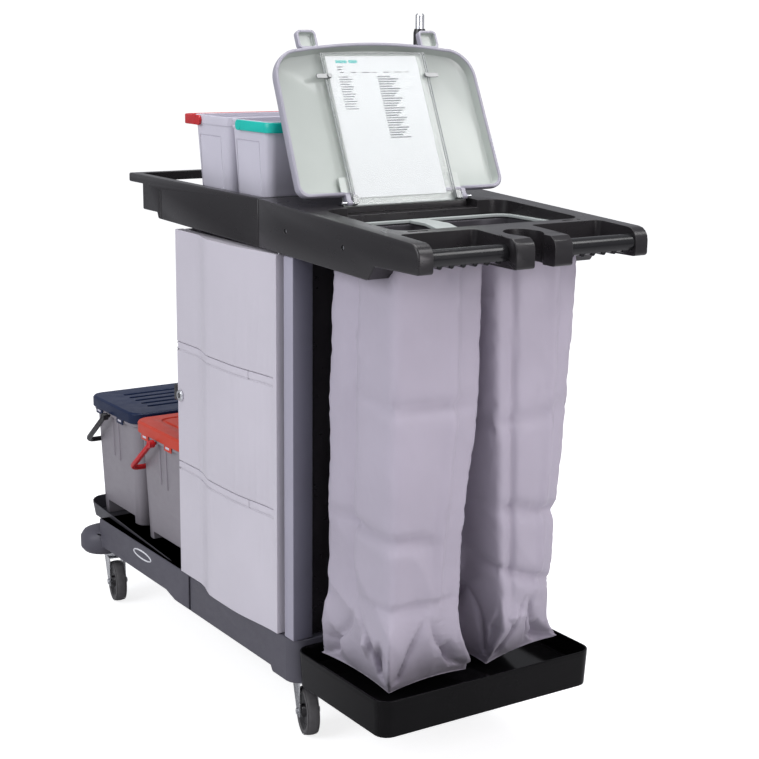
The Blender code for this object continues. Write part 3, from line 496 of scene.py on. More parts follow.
def make_camera():
    """A long lens at about eye height, looking across the push handle's near corner."""
    data = bpy.data.cameras.new("camera")
    data.lens = CAMERA_LENS
    data.sensor_width = 36.0
    camera = new_object("camera", data)
    yaw, pitch, roll = CAMERA_TURNS
    forward = Vector((-math.sin(yaw) * math.cos(pitch), math.cos(yaw) * math.cos(pitch), -math.sin(pitch)))
    right = Vector((math.cos(yaw), math.sin(yaw), 0))
    level_up = right.cross(forward)
    side = right * math.cos(roll) + level_up * math.sin(roll)
    top = side.cross(forward)
    turned = Matrix((side, top, -forward)).transposed().to_4x4()
    camera.matrix_world = Matrix.Translation(CAMERA_PLACE) @ turned
    bpy.context.scene.camera = camera


def area_light(name, place, target, size, power, colour=(1, 1, 1)):
    data = bpy.data.lights.new(name, "AREA")
    data.shape = "RECTANGLE"
    data.size, data.size_y = size
    data.energy = power
    data.color = colour
    light = new_object(name, data)
    light.location = place
    light.rotation_euler = (Vector(target) - Vector(place)).to_track_quat("-Z", "Y").to_euler()


def make_studio():
    """White surroundings for the eye, with softer, darker ones for light and reflections."""
    scene = bpy.context.scene
    scene.view_settings.view_transform = "Standard"
    scene.view_settings.look = "None"
    world = bpy.data.worlds.new("studio")
    world.use_nodes = True
    tree = world.node_tree
    seen = tree.nodes["Background"]
    set_inputs(seen, Color=(1, 1, 1, 1), Strength=1.05)
    around = add_node(tree, "ShaderNodeBackground", in_Color=(0.92, 0.93, 1.0, 1), in_Strength=AMBIENT)
    path = add_node(tree, "ShaderNodeLightPath")
    choose = add_node(tree, "ShaderNodeMixShader")
    tree.links.new(path.outputs["Is Camera Ray"], choose.inputs["Fac"])
    tree.links.new(around.outputs["Background"], choose.inputs[1])
    tree.links.new(seen.outputs["Background"], choose.inputs[2])
    tree.links.new(choose.outputs["Shader"], tree.nodes["World Output"].inputs["Surface"])
    scene.world = world
    area_light("key_left", (0.2, -3.6, 2.4), (0, 0, 0.6), (2.4, 2.2), 74, (0.96, 0.97, 1.0))
    area_light("key_right", (3.9, 0.5, 2.0), (0.3, 0, 0.7), (1.8, 2.2), 58, (1.0, 0.96, 0.99))
    area_light("overhead", (0.2, 0.1, 3.6), (0.1, 0, 1.0), (2.6, 1.6), 64)
    area_light("lid_glare", (1.75, 1.40, 2.65), (0.27, 0, 1.2), (0.9, 0.9), 14)


def make_floor():
    """A wide plain floor that only the camera sees as white; its bounced light stays weak."""
    floor_mesh = bpy.data.meshes.new("floor")
    size = 14.0
    corners = [(-size, -size, 0), (size, -size, 0), (size, size, 0), (-size, size, 0)]
    floor_mesh.from_pydata(corners, [], [(0, 1, 2, 3)])
    floor = new_object("floor", floor_mesh)
    material, tree, shader = start_material("floor_look")
    rough_by(tree, shader, noise_value(tree, object_coords(tree), 3.0), 0.86, 0.94)
    set_inputs(shader, Base_Color=(0.60, 0.60, 0.61, 1), Emission_Color=(1, 1, 1, 1))
    path = add_node(tree, "ShaderNodeLightPath")
    glow = add_node(tree, "ShaderNodeMath", operation="MULTIPLY")
    glow.inputs[1].default_value = FLOOR_GLOW
    tree.links.new(path.outputs["Is Camera Ray"], glow.inputs[0])
    tree.links.new(glow.outputs[0], shader.inputs["Emission Strength"])
    floor_mesh.materials.append(material)


# ---------------- pieces

def base_lines():
    """Moulded step lines down both skirts of the base, where its narrow end begins."""
    bottom, top = low_of("chassis_base").z - 0.01, high_of("chassis_base").z + 0.01
    lines = []
    for side in (-1, 1):
        near, far = sorted((side * 0.30, side * BASE_LINE_Y))
        lines.append(block((BASE_LINE_X - 0.0012, near, bottom), (BASE_LINE_X + 0.0012, far, top)))
    return lines


def make_softened():
    """Rigid nodes whose shape is already right, with moulded edges and finished surfaces."""
    widths = {
        "bag_tray": 0.0016, "side_panel": 0.0008, "back_panel": 0.0010, "end_panel": 0.0010,
        "cabinet_shelf": 0.0012, "door_pin_lower": 0.0004, "door_pin_upper": 0.0004,
        "lock_barrel": 0.0004, "lock_case": 0.0012, "bag_rail": 0.0016, "bag_divider": 0.0012,
        "frame_screws_near": 0.0004, "frame_screws_far": 0.0004, "lid_hinge_pin_near": 0.0004,
        "lid_hinge_pin_far": 0.0004, "lid_cover": 0.0004, "rear_bucket": 0.0012,
        "front_bucket": 0.0012, "rear_bucket_bail": 0.0008, "front_bucket_bail": 0.0008,
        "rear_pail_bail": 0.0006, "front_pail_bail": 0.0006, "pole_cup": 0.0006,
        "pole_ring": 0.0006, "pole_tube": 0.0003, "pole_collar": 0.0005,
        "pole_inner_tube": 0.0005, "paper_sheet": 0.0001,
    }
    for corner in CORNERS:
        widths["castor_fork_" + corner] = 0.0006
        widths["castor_hub_" + corner] = 0.0008
        widths["castor_tyre_" + corner] = 0.0012
    for node, width in widths.items():
        softened(node, width)
    softened("handle_frame", 0.0008, merge=0.0003)
    softened("chassis_base", 0.0030, cutters=base_lines())
    softened("bucket_tray", 0.0012, "pan_black")
    for side in ("near", "far"):
        softened("hand_grip_" + side, 0.0008, "grip_black")


def make_posts():
    """Corner posts whose end faces are darker than their sides."""
    for side in ("near", "far"):
        piece = softened("front_post_" + side, 0.0012)
        piece.data.materials.append(looks["post_end"])
        for face in piece.data.polygons:
            if face.normal.x > 0.7:
                face.material_index = 1


# ---------------- door

def door_front_y(x):
    """The door's outer face: flat at the lock side, bulging out towards the middle."""
    low, high = low_of("door_panel").x, high_of("door_panel").x
    along = (x - low) / (high - low)
    rise, fall = ramp(along, 0.22, 0.20), ramp(along, 0.62, 0.38)
    swell = rise * rise * (3 - 2 * rise)
    settle = fall * fall * (3 - 2 * fall)
    return DOOR_FLAT_Y - 0.0190 * swell + 0.0140 * settle


def door_groove(start, end, level, height, depth):
    """A cutter that follows the door's bulge along one level."""
    rings = []
    for i in range(41):
        x = start + (end - start) * i / 40
        front = door_front_y(x)
        rings.append([(x, front - 0.004, level - height / 2), (x, front + depth, level - height / 4),
                      (x, front + depth, level + height / 4), (x, front - 0.004, level + height / 2)])
    return loft_mesh("groove", rings)


def make_door():
    """The cabinet door: two moulded finger grooves across it and a small notch by the lock."""
    low, high = low_of("door_panel"), high_of("door_panel")
    right = high.x - 0.0125
    tick = high.x - 0.0965
    cutters = []
    for level in DOOR_GROOVES:
        cutters.append(door_groove(low.x - 0.01, right, level, 0.0034, 0.0022))
        cutters.append(door_groove(low.x - 0.01, right, level - 0.0165, 0.0060, 0.0012))
        face = door_front_y(tick)
        end = (tick + 0.0013, face + 0.0018, level)
        cutters.append(block((tick - 0.0013, face - 0.01, level - 0.0165), end))
    top = DOOR_GROOVES[0]
    cutters.append(block((low.x - 0.01, -0.30, top - 0.012), (low.x + 0.0035, -0.20, top - 0.004)))
    softened("door_panel", 0.0009, cutters=cutters)


# ---------------- deck, pails and buckets

def make_deck():
    """The open deck, with moulded step lines down its skirts."""
    low, high = low_of("rear_deck"), high_of("rear_deck")
    cutters = []
    for y, inner in ((low.y, low.y + 0.0012), (high.y, high.y - 0.0012)):
        near, far = sorted((y + (-0.01 if y < 0 else 0.01), inner))
        for x, width in ((DECK_STEP_X, 0.0024), (DECK_STEP_X + 0.009, 0.0016)):
            cutters.append(block((x - width / 2, near, 0.97), (x + width / 2, far, high.z - 0.024)))
    softened("rear_deck", 0.0012, cutters=cutters)


def wall_box(near_y, x_range, z_range, depth, thickness=0.01):
    """A cutter leaning with a tapered wall: near_y gives the wall's y at a height."""
    rings = []
    for z in z_range:
        y = near_y(z)
        rings.append([(x_range[0], y - thickness, z), (x_range[1], y - thickness, z),
                      (x_range[1], y + depth, z), (x_range[0], y + depth, z)])
    return loft_mesh("wall_cut", rings)


def make_pails():
    """Two small pails: a panel line and two latch slots on the near wall."""
    for name in ("rear", "front"):
        low, high = low_of(name + "_pail"), high_of(name + "_pail")
        middle = (low.x + high.x) / 2
        foot_y, rim_y = low.y + 0.0110, low.y + 0.0030

        def near_wall(z):
            return foot_y + (rim_y - foot_y) * (z - low.z) / (high.z - 0.020 - low.z)

        left, right = middle - 0.052, middle + 0.040
        bottom, top = low.z + 0.006, high.z - 0.040
        line = 0.0016
        cutters = [
            wall_box(near_wall, (left, left + line), (bottom, top), 0.0012),
            wall_box(near_wall, (left, right), (top - line, top), 0.0012),
            wall_box(near_wall, (right - line, right), (bottom, top), 0.0012),
        ]
        for x in (middle - 0.066, middle - 0.056):
            corner = (x + 0.0034, low.y + 0.0022, high.z - 0.005)
            cutters.append(block((x, low.y - 0.01, high.z - 0.013), corner))
        softened(name + "_pail", 0.0010, "pail_tub", cutters=cutters)


def bucket_rib(middle, offset, sign, low_z, high_z):
    """A rounded upright rib on a bucket's tapered long wall."""
    rings = []
    for z, size in ((low_z - 0.004, 0.25), (low_z, 0.8), (low_z + 0.006, 1.0), (high_z, 1.0)):
        wall = BUCKET_HALF + BUCKET_SPREAD * (z - BUCKET_FLOOR) / BUCKET_RISE
        rings.append([(middle.x + offset + x, middle.y + sign * (wall - 0.0005) + y, z)
                      for x, y in rounded_rect(0.0040 * size, 0.0032 * size, 0.0028 * size, 3)])
    return loft_mesh("rib", rings)


def ring_groove(middle, half, width, top, depth):
    """A cutter for a rounded rectangular groove in a level top."""
    inner = (half[0] - width, half[1] - width)
    steps = ((half, 0.028, top + 0.01), (half, 0.028, top - depth),
             (inner, 0.020, top - depth), (inner, 0.020, top + 0.01))
    rings = [rect_ring((middle.x, middle.y), *step) for step in steps]
    return loft_mesh("ring_groove", rings, close=True)


def make_bucket_ribs(name):
    """Six ribs that stiffen a lower bucket's long walls under its rim."""
    middle = middle_of(name + "_bucket")
    ribs = []
    for sign in (-1, 1):
        for offset, foot in ((-0.0940, 0.430), (-0.0196, 0.372), (0.0123, 0.366)):
            ribs.append(bucket_rib(middle, offset, sign, foot, 0.470))
    add_piece(name + "_bucket_ribs", joined("ribs", ribs), body_of_node(name + "_bucket"), "lilac_grey_tub")


def lid_grooves(name):
    """Cutters for a bucket lid's top: five straight grooves on the rear one, two loops on the front one."""
    middle, top = middle_of(name + "_bucket_lid"), high_of(name + "_bucket_lid").z
    if name == "front":
        loops = (((0.096, 0.172), 0.009), ((0.046, 0.070), 0.006))
        return [ring_groove(middle, half, width, top, 0.0035) for half, width in loops]
    cutters = []
    for i in range(5):
        x = middle.x + 0.034 * (i - 2)
        start = (x - 0.0065, middle.y - 0.152, top - 0.0045)
        cutters.append(block(start, (x + 0.0065, middle.y + 0.165, top + 0.01), 0.0055))
    return cutters


def make_lid_tabs(name, look):
    """Four slotted tabs on the skirt of a bucket lid."""
    middle = middle_of(name + "_bucket_lid")
    tabs, slots = [], []
    for offset in (-0.090, 0.030):
        for sign in (-1, 1):
            x, face = middle.x + offset, middle.y + sign * 0.2172
            near, far = sorted((face, face - sign * 0.0028))
            tabs.append(block((x, near, 0.4655), (x + 0.036, far, 0.4785), 0.0010))
            near, far = sorted((face + sign * 0.0004, face - sign * 0.0010))
            slots.append(block((x + 0.009, near, 0.4705), (x + 0.027, far, 0.4755)))
    body = body_of_node(name + "_bucket_lid")
    add_piece(name + "_lid_tabs", joined("tabs", tabs), body, look)
    add_piece(name + "_lid_slots", joined("slots", slots), body, "pail_tub")


def make_lower_buckets():
    for name, look in (("rear", "navy_plastic"), ("front", "orange_plastic")):
        make_bucket_ribs(name)
        softened(name + "_bucket_lid", 0.0016, cutters=lid_grooves(name))
        make_lid_tabs(name, look)


# ---------------- lid

def lid_point(s, y, n):
    """World place of a point on the open lid: s up along it, n out of its inner face."""
    hinge = joint_place("lid_hinge")
    return Vector((hinge.x - s * math.sin(LID_TILT) + n * math.cos(LID_TILT), y,
                   hinge.z + s * math.cos(LID_TILT) + n * math.sin(LID_TILT)))


def corner_arc(centre, radius, start, steps):
    """Points round a quarter circle in the lid's (s, y) plane, start in degrees from +s towards +y."""
    angles = [math.radians(start + 90 * i / steps) for i in range(steps + 1)]
    return [(centre[0] + radius * math.cos(a), centre[1] + radius * math.sin(a)) for a in angles]


def lid_outline(inset):
    """A wide rounded shield: small corners at the hinge, large ones at the arched free edge."""
    low, half, edge = LID_BOTTOM + inset, LID_HALF - inset, LID_TOP - inset
    top_half = half - 0.004
    small, large = 0.022 - inset / 2, 0.062 - inset
    points = corner_arc((low + small, -half + small), small, 180, 8)[::-1]
    points += corner_arc((low + small, half - small), small, 90, 8)[::-1]
    points += corner_arc((edge - large, top_half - large), large, 0, 16)[::-1]
    span = top_half - large
    for i in range(1, 24):
        y = span * (1 - i / 12)
        points.append((edge + 0.0125 * (1 - (y / span) ** 2), y))
    points += corner_arc((edge - large, -top_half + large), large, 270, 16)[::-1]
    return points


def lid_rings(outline, profile):
    return [[lid_point(s, y, n) for s, y in outline(inset)] for inset, n in profile]


def lid_block(middle, half, n_range, corner, edge=0.0006):
    """A rounded slab lying in the lid's plane, middle and half sizes in (s, y)."""
    def outline(inset):
        spots = rounded_rect(half[0] - inset, half[1] - inset, max(corner - inset, 0.0002), 5)
        return [(middle[0] + s, middle[1] + y) for s, y in spots]
    low, high = n_range
    profile = [(edge, low), (0.0, low + edge), (0.0, high - edge), (edge, high)]
    return loft_mesh("slab", lid_rings(outline, profile))


def two_tone(mesh, count, first_inner, inner_look, outer_look):
    """Gives the bands from first_inner on, and the closing cap, the inner look."""
    mesh.materials.append(looks[outer_look])
    mesh.materials.append(looks[inner_look])
    bands = len(mesh.polygons) - 2
    for index, face in enumerate(mesh.polygons):
        face.material_index = 1 if first_inner * count <= index < bands or index == bands + 1 else 0


def make_lid():
    """The dished lid shell, its raised pad, two latch tabs and two hinge knuckles."""
    profile = [(0.0120, -0.0240), (0.0050, -0.0215), (0.0010, -0.0165), (0.0, -0.0100), (0.0, -0.0022),
               (0.0007, -0.0007), (0.0024, 0.0), (0.0046, 0.0), (0.0060, -0.0008), (0.0067, -0.0026),
               (0.0082, -0.0150), (0.0100, -0.0190), (0.0140, -0.0212)]
    shell = loft_mesh("lid_shell_shape", lid_rings(lid_outline, profile))
    two_tone(shell, len(lid_outline(0)), 9, "pale_lid", "lid_rim")
    piece = add_piece("lid_shell_shape", shell, "lid", "pale_lid", ("lid_shell",))
    carve(piece, [lid_block((0.0050, 0), (0.0250, 0.1385), (-0.0095, 0.0200), 0.002)])
    pad = lid_block((0.1735, 0), (0.1235, 0.112), (-0.0225, -0.0100), 0.010, 0.0015)
    tongue = lid_block((0.0255, 0), (0.0295, 0.1385), (-0.0145, -0.0112), 0.003)
    add_piece("lid_pad", joined("lid_pad", [pad, tongue]), "lid", "pale_lid")
    tab_profile = [(0.0020, -0.0205), (0.0, -0.0188), (0.0, -0.0088), (0.0010, -0.0078),
                   (0.0040, -0.0078), (0.0050, -0.0086), (0.0056, -0.0165), (0.0070, -0.0180)]
    hinge = joint_place("lid_hinge")
    for side, name in SIDES:
        def outline(inset):
            spots = rounded_rect(0.0190 - inset, 0.0215 - inset, 0.009 - inset * 0.8, 6)
            return [(LID_TOP + 0.022 + s, side * 0.141 + y) for s, y in spots]
        tab = loft_mesh("lid_tab_" + name, lid_rings(outline, tab_profile))
        two_tone(tab, len(outline(0)), 5, "pale_lid", "lid_rim")
        add_piece("lid_tab_" + name, tab, "lid", "pale_lid")
        start = (hinge.x, side * 0.1280, hinge.z)
        knuckle = rod_mesh("knuckle", 0.0052, start, (hinge.x, side * 0.1385, hinge.z), 24)
        add_piece("lid_knuckle_" + name, knuckle, "lid", "lid_rim")
        web = lid_block((0.0090, side * 0.1333), (0.0080, 0.0050), (-0.0140, 0.0020), 0.002)
        add_piece("lid_web_" + name, web, "lid", "lid_rim")


def make_cover():
    """Clear cover details: bevelled rim strips and the two turn clips."""
    places = [((0.1495, side * reach), (0.1530, 0.0006)) for side in (-1, 1) for reach in (0.1207, 0.1163)]
    places += [((0.3020, 0), (0.0008, 0.1210)), ((-0.0030, 0), (0.0008, 0.1210))]
    strips = [lid_block(middle, half, (-0.0089, -0.0064), 0.0004, 0.0002) for middle, half in places]
    add_piece("cover_rim", joined("cover_rim", strips), "cover", "clear_edge")
    for side, name in SIDES:
        arm = lid_block((CLIP_UP, side * 0.1245), (0.0046, 0.0172), (-0.0062, -0.0034), 0.0042)
        start = lid_point(CLIP_UP, side * 0.1125, -0.0062)
        knob = rod_mesh("knob", 0.0048, start, lid_point(CLIP_UP, side * 0.1125, -0.0008), 20)
        body = "clip_" + name
        add_piece(body, joined("clip", [arm, knob]), body, "clip_clear", ("cover_" + body,))
        lug = lid_block((0.0050, side * 0.1190), (0.0085, 0.0060), (-0.0088, 0.0040), 0.003)
        add_piece("cover_lug_" + name, lug, "cover", "clip_clear")


def make_print():
    """A generic printed form: a heading bar, a few words and two columns of ruled entries."""
    low_y = low_of("paper_sheet").y

    def mark(u, v, length, thick):
        middle = (PAPER_TOP - v * PAPER_TALL, low_y + u * PAPER_WIDE + length / 2)
        return lid_block(middle, (thick / 2, length / 2), (-0.00915, -0.00895), thick / 4, 0.00002)

    heading = [mark(0.10, 0.040, 0.026, 0.0062), mark(0.24, 0.040, 0.020, 0.0062)]
    add_piece("print_heading", joined("print_heading", heading), "lid", "ink_teal")
    words = [mark(0.10, 0.078, 0.014, 0.0020), mark(0.10, 0.097, 0.010, 0.0020)]
    words += [mark(0.12 + 0.12 * i, 0.118, 0.009 + 0.004 * (i % 3), 0.0016) for i in range(7)]
    rules = []
    for i in range(14):
        rules.append(mark(0.10, 0.150 + 0.0175 * i, 0.022 + 0.004 * ((i * 5) % 3), 0.0020))
    for i in range(26):
        rules.append(mark(0.52, 0.150 + 0.0175 * i, 0.030 + 0.006 * ((i * 7) % 4), 0.0026))
    add_piece("print_words", joined("print_words", words), "lid", "ink_grey")
    add_piece("print_rules", joined("print_rules", rules), "lid", "ink_pale")


# ---------------- small hardware

def make_castor_parts():
    """Axle nuts and washers, the swivel's race, and fine moulded lines round each tyre."""
    race = [(0.0240, 0.1150), (0.0262, 0.1165), (0.0262, 0.1205), (0.0240, 0.1225),
            (0.0225, 0.1225), (0.0225, 0.1150)]
    for corner in CORNERS:
        wheel = joint_place("wheel_spin_" + corner)
        axle = joint_axis("wheel_spin_" + corner).normalized()
        nuts, lines = [], []
        for sign in (-1, 1):
            out = axle * sign
            base = wheel + out * 0.0207
            nuts.append(rod_mesh("nut", 0.0068, base, base + out * 0.0036, 6, 0.0005))
            nuts.append(rod_mesh("washer", 0.0085, base - out * 0.0004, base + out * 0.0008, 28, 0.0002))
            for r in (0.0455, 0.0480):
                profile = [(r - 0.0006, 0.0), (r, 0.0005), (r + 0.0006, 0.0), (r, -0.0012)]
                lines.append(turned_mesh("line", profile, wheel + out * 0.0122, out, 48))
        swivel = joint_place("swivel_" + corner)
        nuts.append(turned_mesh("race", race, (swivel.x, swivel.y, 0), UP))
        add_piece("castor_nuts_" + corner, joined("nuts", nuts), "castor_" + corner, "zinc_steel")
        add_piece("tyre_lines_" + corner, joined("lines", lines), "wheel_" + corner, "grey_tyre")


def make_lock_face():
    """The lock barrel's dark face with its upright keyway."""
    lock, face_y = middle_of("lock_barrel"), low_of("lock_barrel").y
    start, end = (lock.x, face_y + 0.0004, lock.z), (lock.x, face_y - 0.0003, lock.z)
    low = (lock.x - 0.0007, face_y - 0.0006, lock.z - 0.0032)
    keyway = block(low, (lock.x + 0.0007, face_y, lock.z + 0.0032))
    rosette = rod_mesh("rosette", 0.0058, start, end, 28, 0.0002)
    add_piece("lock_face", rosette, "lock", "grip_black")
    add_piece("lock_keyway", keyway, "lock", "zinc_steel")


def make_hook_pin():
    """A small eye on a stem under the frame's near corner."""
    stem = rod_mesh("stem", 0.0022, HOOK_PIN, HOOK_PIN - UP * 0.0150, 16)
    wire = [(0.0052 + a, b) for a, b in circle(0.0016, 10)]
    eye = turned_mesh("eye", wire, HOOK_PIN - UP * 0.0180, (0.3, 1, 0), 28)
    add_piece("hook_pin", joined("hook_pin", [stem, eye]), "cart", "zinc_steel")


def make_badge():
    """A plain oval ring on the base's skirt."""
    rings = []
    for grow, out in ((0.0, 0.0004), (0.0012, -0.0009), (0.0028, -0.0009), (0.0040, 0.0004)):
        half = (0.0480 - grow, 0.0110 - grow)
        y = BADGE[1] - 0.0004 + out
        rings.append([(BADGE[0] + half[0] * a, y, BADGE[2] + half[1] * b) for a, b in circle(1.0, 64)])
    ring = loft_mesh("badge_ring", rings, close=True)
    add_piece("badge_ring", ring, "cart", "badge_white")


# ---------------- bags

# Cloth cells round and down a bag, steps of its settling, how far it may sag, and the weave's pitch.
BAG_ROUND = 128
BAG_DOWN = 112
BAG_STEPS = 24
SAG_LIMIT = 0.006
WEAVE_STEP = 0.0085
# Upright folds: place round the bag in turns, depth, and how far each fades on its soft side.
UPRIGHT_FOLDS = {
    -1: ((0.104, -0.0110, 0.034), (0.418, 0.0085, 0.020), (0.640, -0.0080, 0.025), (0.880, 0.0070, 0.020)),
    1: ((0.110, 0.0080, 0.024), (0.300, -0.0100, 0.030), (0.428, 0.0080, 0.018), (0.830, -0.0080, 0.025)),
}
# Level folds: height, depth, slope over a turn, and the turn where each is strongest.
LEVEL_FOLDS = {
    -1: ((0.505, -0.0120, 0.055, 0.220), (0.372, -0.0060, -0.020, 0.300), (0.748, -0.0075, 0.040, 0.330)),
    1: ((0.520, -0.0120, 0.090, 0.370), (0.395, -0.0105, 0.150, 0.330), (0.700, -0.0060, -0.060, 0.300)),
}
# Pockets at the foot: turn, rise above the foot, half width in turns, half height, depth.
FOOT_POCKETS = {
    -1: ((0.455, 0.050, 0.017, 0.030, -0.020), (0.035, 0.045, 0.022, 0.026, -0.016),
         (0.215, 0.060, 0.018, 0.034, -0.016), (0.160, 0.080, 0.012, 0.030, 0.008)),
    1: ((0.455, 0.050, 0.030, 0.026, -0.022), (0.240, 0.075, 0.018, 0.045, -0.016),
        (0.330, 0.105, 0.030, 0.020, 0.009), (0.400, 0.110, 0.010, 0.060, -0.010)),
}


def bag_paths(side):
    """Where the four upright edges of a hanging bag run, from the rail to the seam at its foot.

    Each path is in the order rear near, front near, front far, rear far, listed from the top down.
    """
    tray_floor = high_of("bag_tray").z - 0.032
    rail = high_of("bag_rail").z - 0.008
    top = low_of("bag_near" if side < 0 else "bag_far")
    reach = high_of("bag_near" if side < 0 else "bag_far")
    heights = [rail, 0.95, 0.74, 0.50, 0.36, 0.285]
    rear = [top.x + 0.004, 0.388, 0.386, 0.385, 0.388, 0.377]
    front = [reach.x + 0.003, 0.605, 0.611, 0.612, 0.609, 0.600]
    if side < 0:
        outer = [top.y, -0.208, -0.212, -0.213, -0.212, -0.209]
        inner = [reach.y, -0.015, -0.022, -0.052, -0.058, -0.050]
        feet = [(0.347, -0.197, tray_floor + 0.020), (0.549, -0.174, tray_floor + 0.004),
                (0.537, 0.012, tray_floor + 0.007), (0.352, -0.024, tray_floor + 0.008)]
        near, far = outer, inner
    else:
        outer = [reach.y, 0.204, 0.188, 0.170, 0.157, 0.154]
        inner = [top.y, 0.014, 0.018, 0.030, 0.042, 0.048]
        feet = [(0.352, 0.040, tray_floor + 0.008), (0.532, 0.066, tray_floor + 0.004),
                (0.598, 0.181, tray_floor + 0.060), (0.362, 0.203, tray_floor + 0.020)]
        near, far = inner, outer
    paths = []
    for xs, ys, foot in zip((rear, front, front, rear), (near, near, far, far), feet):
        paths.append([Vector(p) for p in zip(xs, ys, heights)] + [Vector(foot)])
    return paths


def along_path(path, fraction):
    """Smooth point on a path of stations at equal fractions."""
    place = fraction * (len(path) - 1)
    i = min(int(place), len(path) - 2)
    t = place - i
    before, start, end, after = path[max(i - 1, 0)], path[i], path[i + 1], path[min(i + 2, len(path) - 1)]
    return 0.5 * ((2 * start) + (end - before) * t + (2 * before - 5 * start + 4 * end - after) * t * t
                  + (3 * start - before - 3 * end + after) * t ** 3)


def bag_ring(corners, bulge, rounding, lift):
    """One loop of cloth through four corners; sides bow by bulge and rise by lift in their middles."""
    points = []
    per_side = BAG_ROUND // 4
    centre = sum(corners, Vector()) / 4
    for i in range(4):
        start, end = corners[i], corners[(i + 1) % 4]
        out = ((start + end) / 2 - centre)
        out.z = 0
        out.normalize()
        for j in range(per_side):
            t = j / per_side
            bow = 4 * t * (1 - t)
            points.append(start.lerp(end, t) + out * bulge * bow + UP * lift * bow)
    for _ in range(rounding):
        after = points[1:] + points[:1]
        points = [(points[i - 1] + 2 * points[i] + after[i]) / 4 for i in range(BAG_ROUND)]
    return points


def wrapped(value):
    """A turn's distance from zero, the short way round, from -0.5 to 0.5."""
    return (value + 0.5) % 1.0 - 0.5


def sharp_fold(gap):
    """One side of a fold fades softly and the other breaks sharply."""
    return math.exp(-gap * gap) if gap < 0 else math.exp(-gap * 3.5)


def pack_folds(turn, height, side):
    """Depth of the folds that packing left: upright gusset creases and level creases."""
    upright = 0.0
    for place, depth, fade in UPRIGHT_FOLDS[side]:
        upright += depth * sharp_fold(wrapped(turn - place) / fade)
    upright *= ramp(height, 0.33, 0.08)
    level = 0.0
    for place, depth, slope, middle in LEVEL_FOLDS[side]:
        across = wrapped(turn - middle)
        strength = math.exp(-(across / 0.165) ** 4)
        level += depth * strength * sharp_fold((height - place + slope * across) / 0.020)
    return upright * 1.2 + level * 1.3


def foot_folds(turn, rise, side):
    """Creases running up from each pointed corner of the welded foot, with pockets between."""
    window = min(rise / 0.015, 1.0) * ramp(-rise, -0.150, 0.07)
    if window <= 0:
        return 0.0
    depth = 0.0
    for corner in range(4):
        for sign in (-1, 1):
            gap = wrapped(turn - corner / 4 - sign * (0.014 + rise * 0.70)) / 0.013
            depth -= 0.0190 * math.exp(-abs(gap) * 1.6)
        depth += 0.0130 * math.exp(-abs(wrapped(turn - corner / 4)) / 0.012)
    for place, middle, width, tall, deep in FOOT_POCKETS[side]:
        reach = abs(wrapped(turn - place)) / width + abs(rise - middle) / tall
        depth += deep * 2.2 * max(1 - reach * 0.62, 0.0)
    return depth * window


def bag_mesh(name, side):
    """A hanging bag as one open sheet: a tube from the rail down to the seam, and its closed foot."""
    paths = bag_paths(side)
    foot_level = low_of("bag_near").z
    bm = bmesh.new()
    uv_layer = bm.loops.layers.uv.new("weave")
    rows = []
    for j in range(BAG_DOWN + 1):
        v = 1 - (1 - j / BAG_DOWN) ** 1.35
        corners = [along_path(path, v) for path in paths]
        foot = ramp(v, 0.84, 0.16)
        rounding = int(9 * (1 - foot) ** 1.5)
        bulge = 0.006 * math.sin(math.pi * min(v / 0.85, 1.0)) - 0.005 * foot ** 1.5
        ring = bag_ring(corners, bulge, rounding, 0.004 * foot ** 2)
        centre = sum(ring, Vector()) / BAG_ROUND
        row = []
        for i, point in enumerate(ring):
            out = point - centre
            out.z = 0
            out.normalize()
            turn = i / BAG_ROUND
            crumple = noise.noise(Vector((turn * 9, point.z * 9, side * 7.3)))
            ridge = 0.30 - abs(noise.noise(Vector((turn * 7 + point.z * 3, point.z * 7, side * 2.7))))
            near_foot = ramp(-point.z, -0.50, 0.16)
            depth = pack_folds(turn, point.z, side) + foot_folds(turn, point.z - foot_level, side)
            depth += crumple * (0.0016 + 0.0040 * near_foot) + ridge * (0.0045 + 0.0150 * near_foot)
            row.append(bm.verts.new(point + out * depth * (1 - foot ** 5) * min(v * 12, 1.0)))
        rows.append(row)
    centre = sum((vert.co for vert in rows[-1]), Vector()) / BAG_ROUND
    for t in (0.35, 0.7):
        row = []
        for vert in rows[BAG_DOWN]:
            inward = vert.co.lerp(centre, t)
            row.append(bm.verts.new((inward.x, inward.y, inward.z + 0.004 * t)))
        rows.append(row)
    grid_faces(bm, rows, caps=False)
    bm.faces.new(rows[-1])
    for index, face in enumerate(list(bm.faces)[:-1]):
        i, j = index % BAG_ROUND, index // BAG_ROUND
        for loop, (du, dv) in zip(face.loops, ((0, 0), (1, 0), (1, 1), (0, 1))):
            loop[uv_layer].uv = ((i + du) * WEAVE_STEP, (j + dv) * WEAVE_STEP)
    return finish_mesh(bm, name, 180)


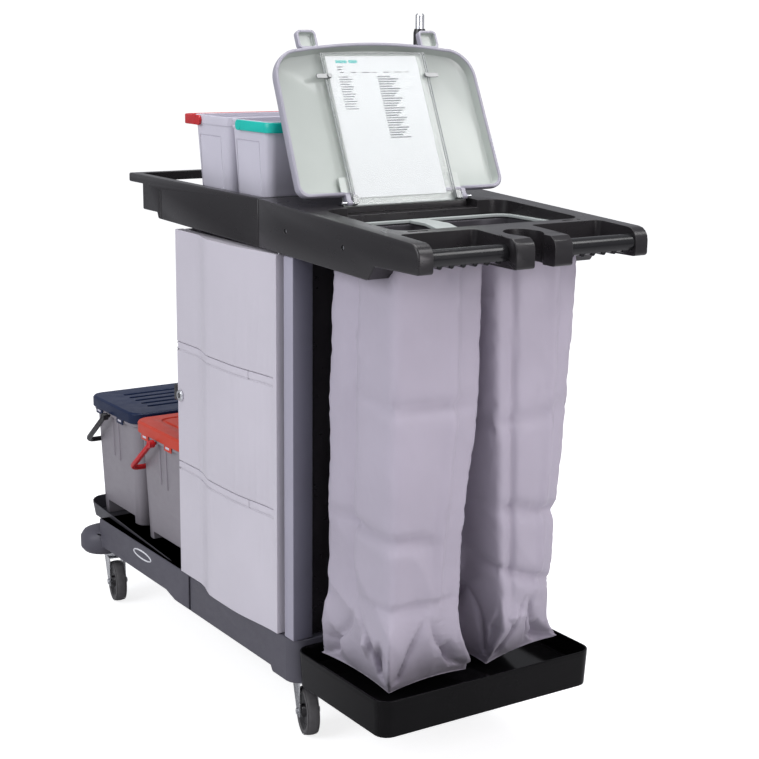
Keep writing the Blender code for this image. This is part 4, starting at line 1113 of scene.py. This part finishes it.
def hang_cloth(piece):
    """Lets the cloth sag and buckle between the rail and its foot, then keeps that shape."""
    mesh = piece.data
    held = piece.vertex_groups.new(name="held")
    for vert in mesh.vertices:
        row = vert.index // BAG_ROUND
        grip = 1.0 if row <= 1 or row >= BAG_DOWN else 0.45
        held.add([vert.index], grip, "REPLACE")
    cloth = piece.modifiers.new("cloth", "CLOTH")
    settings = cloth.settings
    settings.vertex_group_mass = "held"
    settings.quality = 6
    settings.mass = 0.12
    settings.tension_stiffness = 25
    settings.compression_stiffness = 25
    settings.shear_stiffness = 12
    settings.bending_stiffness = 0.6
    settings.air_damping = 4
    settings.pin_stiffness = 0.6
    settings.shrink_min = -0.012
    cloth.collision_settings.use_collision = False
    cloth.collision_settings.use_self_collision = False
    scene = bpy.context.scene
    for frame_number in range(1, BAG_STEPS + 1):
        scene.frame_set(frame_number)
    shape = piece.evaluated_get(bpy.context.evaluated_depsgraph_get())
    settled = [vert.co.copy() for vert in shape.data.vertices]
    piece.modifiers.remove(cloth)
    for vert, place in zip(mesh.vertices, settled):
        move = place - vert.co
        if move.length > SAG_LIMIT:
            move *= SAG_LIMIT / move.length
        vert.co += move
    scene.frame_set(1)


def make_bags():
    for side, name in SIDES:
        mesh = bag_mesh("bag_cloth_" + name, side)
        mesh.materials.append(looks["bag_cloth"])
        # Second look, for the inner face: painted shade for the dark inside of the bag.
        mesh.materials.append(looks["bag_inside_painted_shade"])
        piece = new_object("bag_cloth_" + name, mesh)
        hang_cloth(piece)
        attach(piece, "cart")
        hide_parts("bag_" + name)
        thickness = piece.modifiers.new("cloth_thickness", "SOLIDIFY")
        thickness.thickness = 0.0006
        thickness.offset = -1
        thickness.material_offset = 1
        seam = seam_bead("bag_seam_" + name, mesh)


def tube_mesh(name, points, radius):
    """A round bead through points, joined end to end."""
    rings = []
    for i, point in enumerate(points):
        along = points[(i + 1) % len(points)] - points[i - 1]
        turn = along.normalized().to_track_quat("Z", "Y").to_matrix()
        rings.append([point + turn @ Vector((x, y, 0)) for x, y in circle(radius, 6)])
    return loft_mesh(name, rings, close=True, angle=60)


def seam_bead(name, mesh):
    """The welded seam round the foot of a bag."""
    ring = [mesh.vertices[BAG_DOWN * BAG_ROUND + i].co.copy() for i in range(BAG_ROUND)]
    return add_piece(name, tube_mesh(name, ring, 0.0013), "cart", "bag_cloth")


make_camera()
make_studio()
make_floor()
make_softened()
make_posts()
make_door()
make_deck()
make_pails()
make_lower_buckets()
make_lid()
make_cover()
make_print()
make_castor_parts()
make_lock_face()
make_hook_pin()
make_badge()
make_bags()
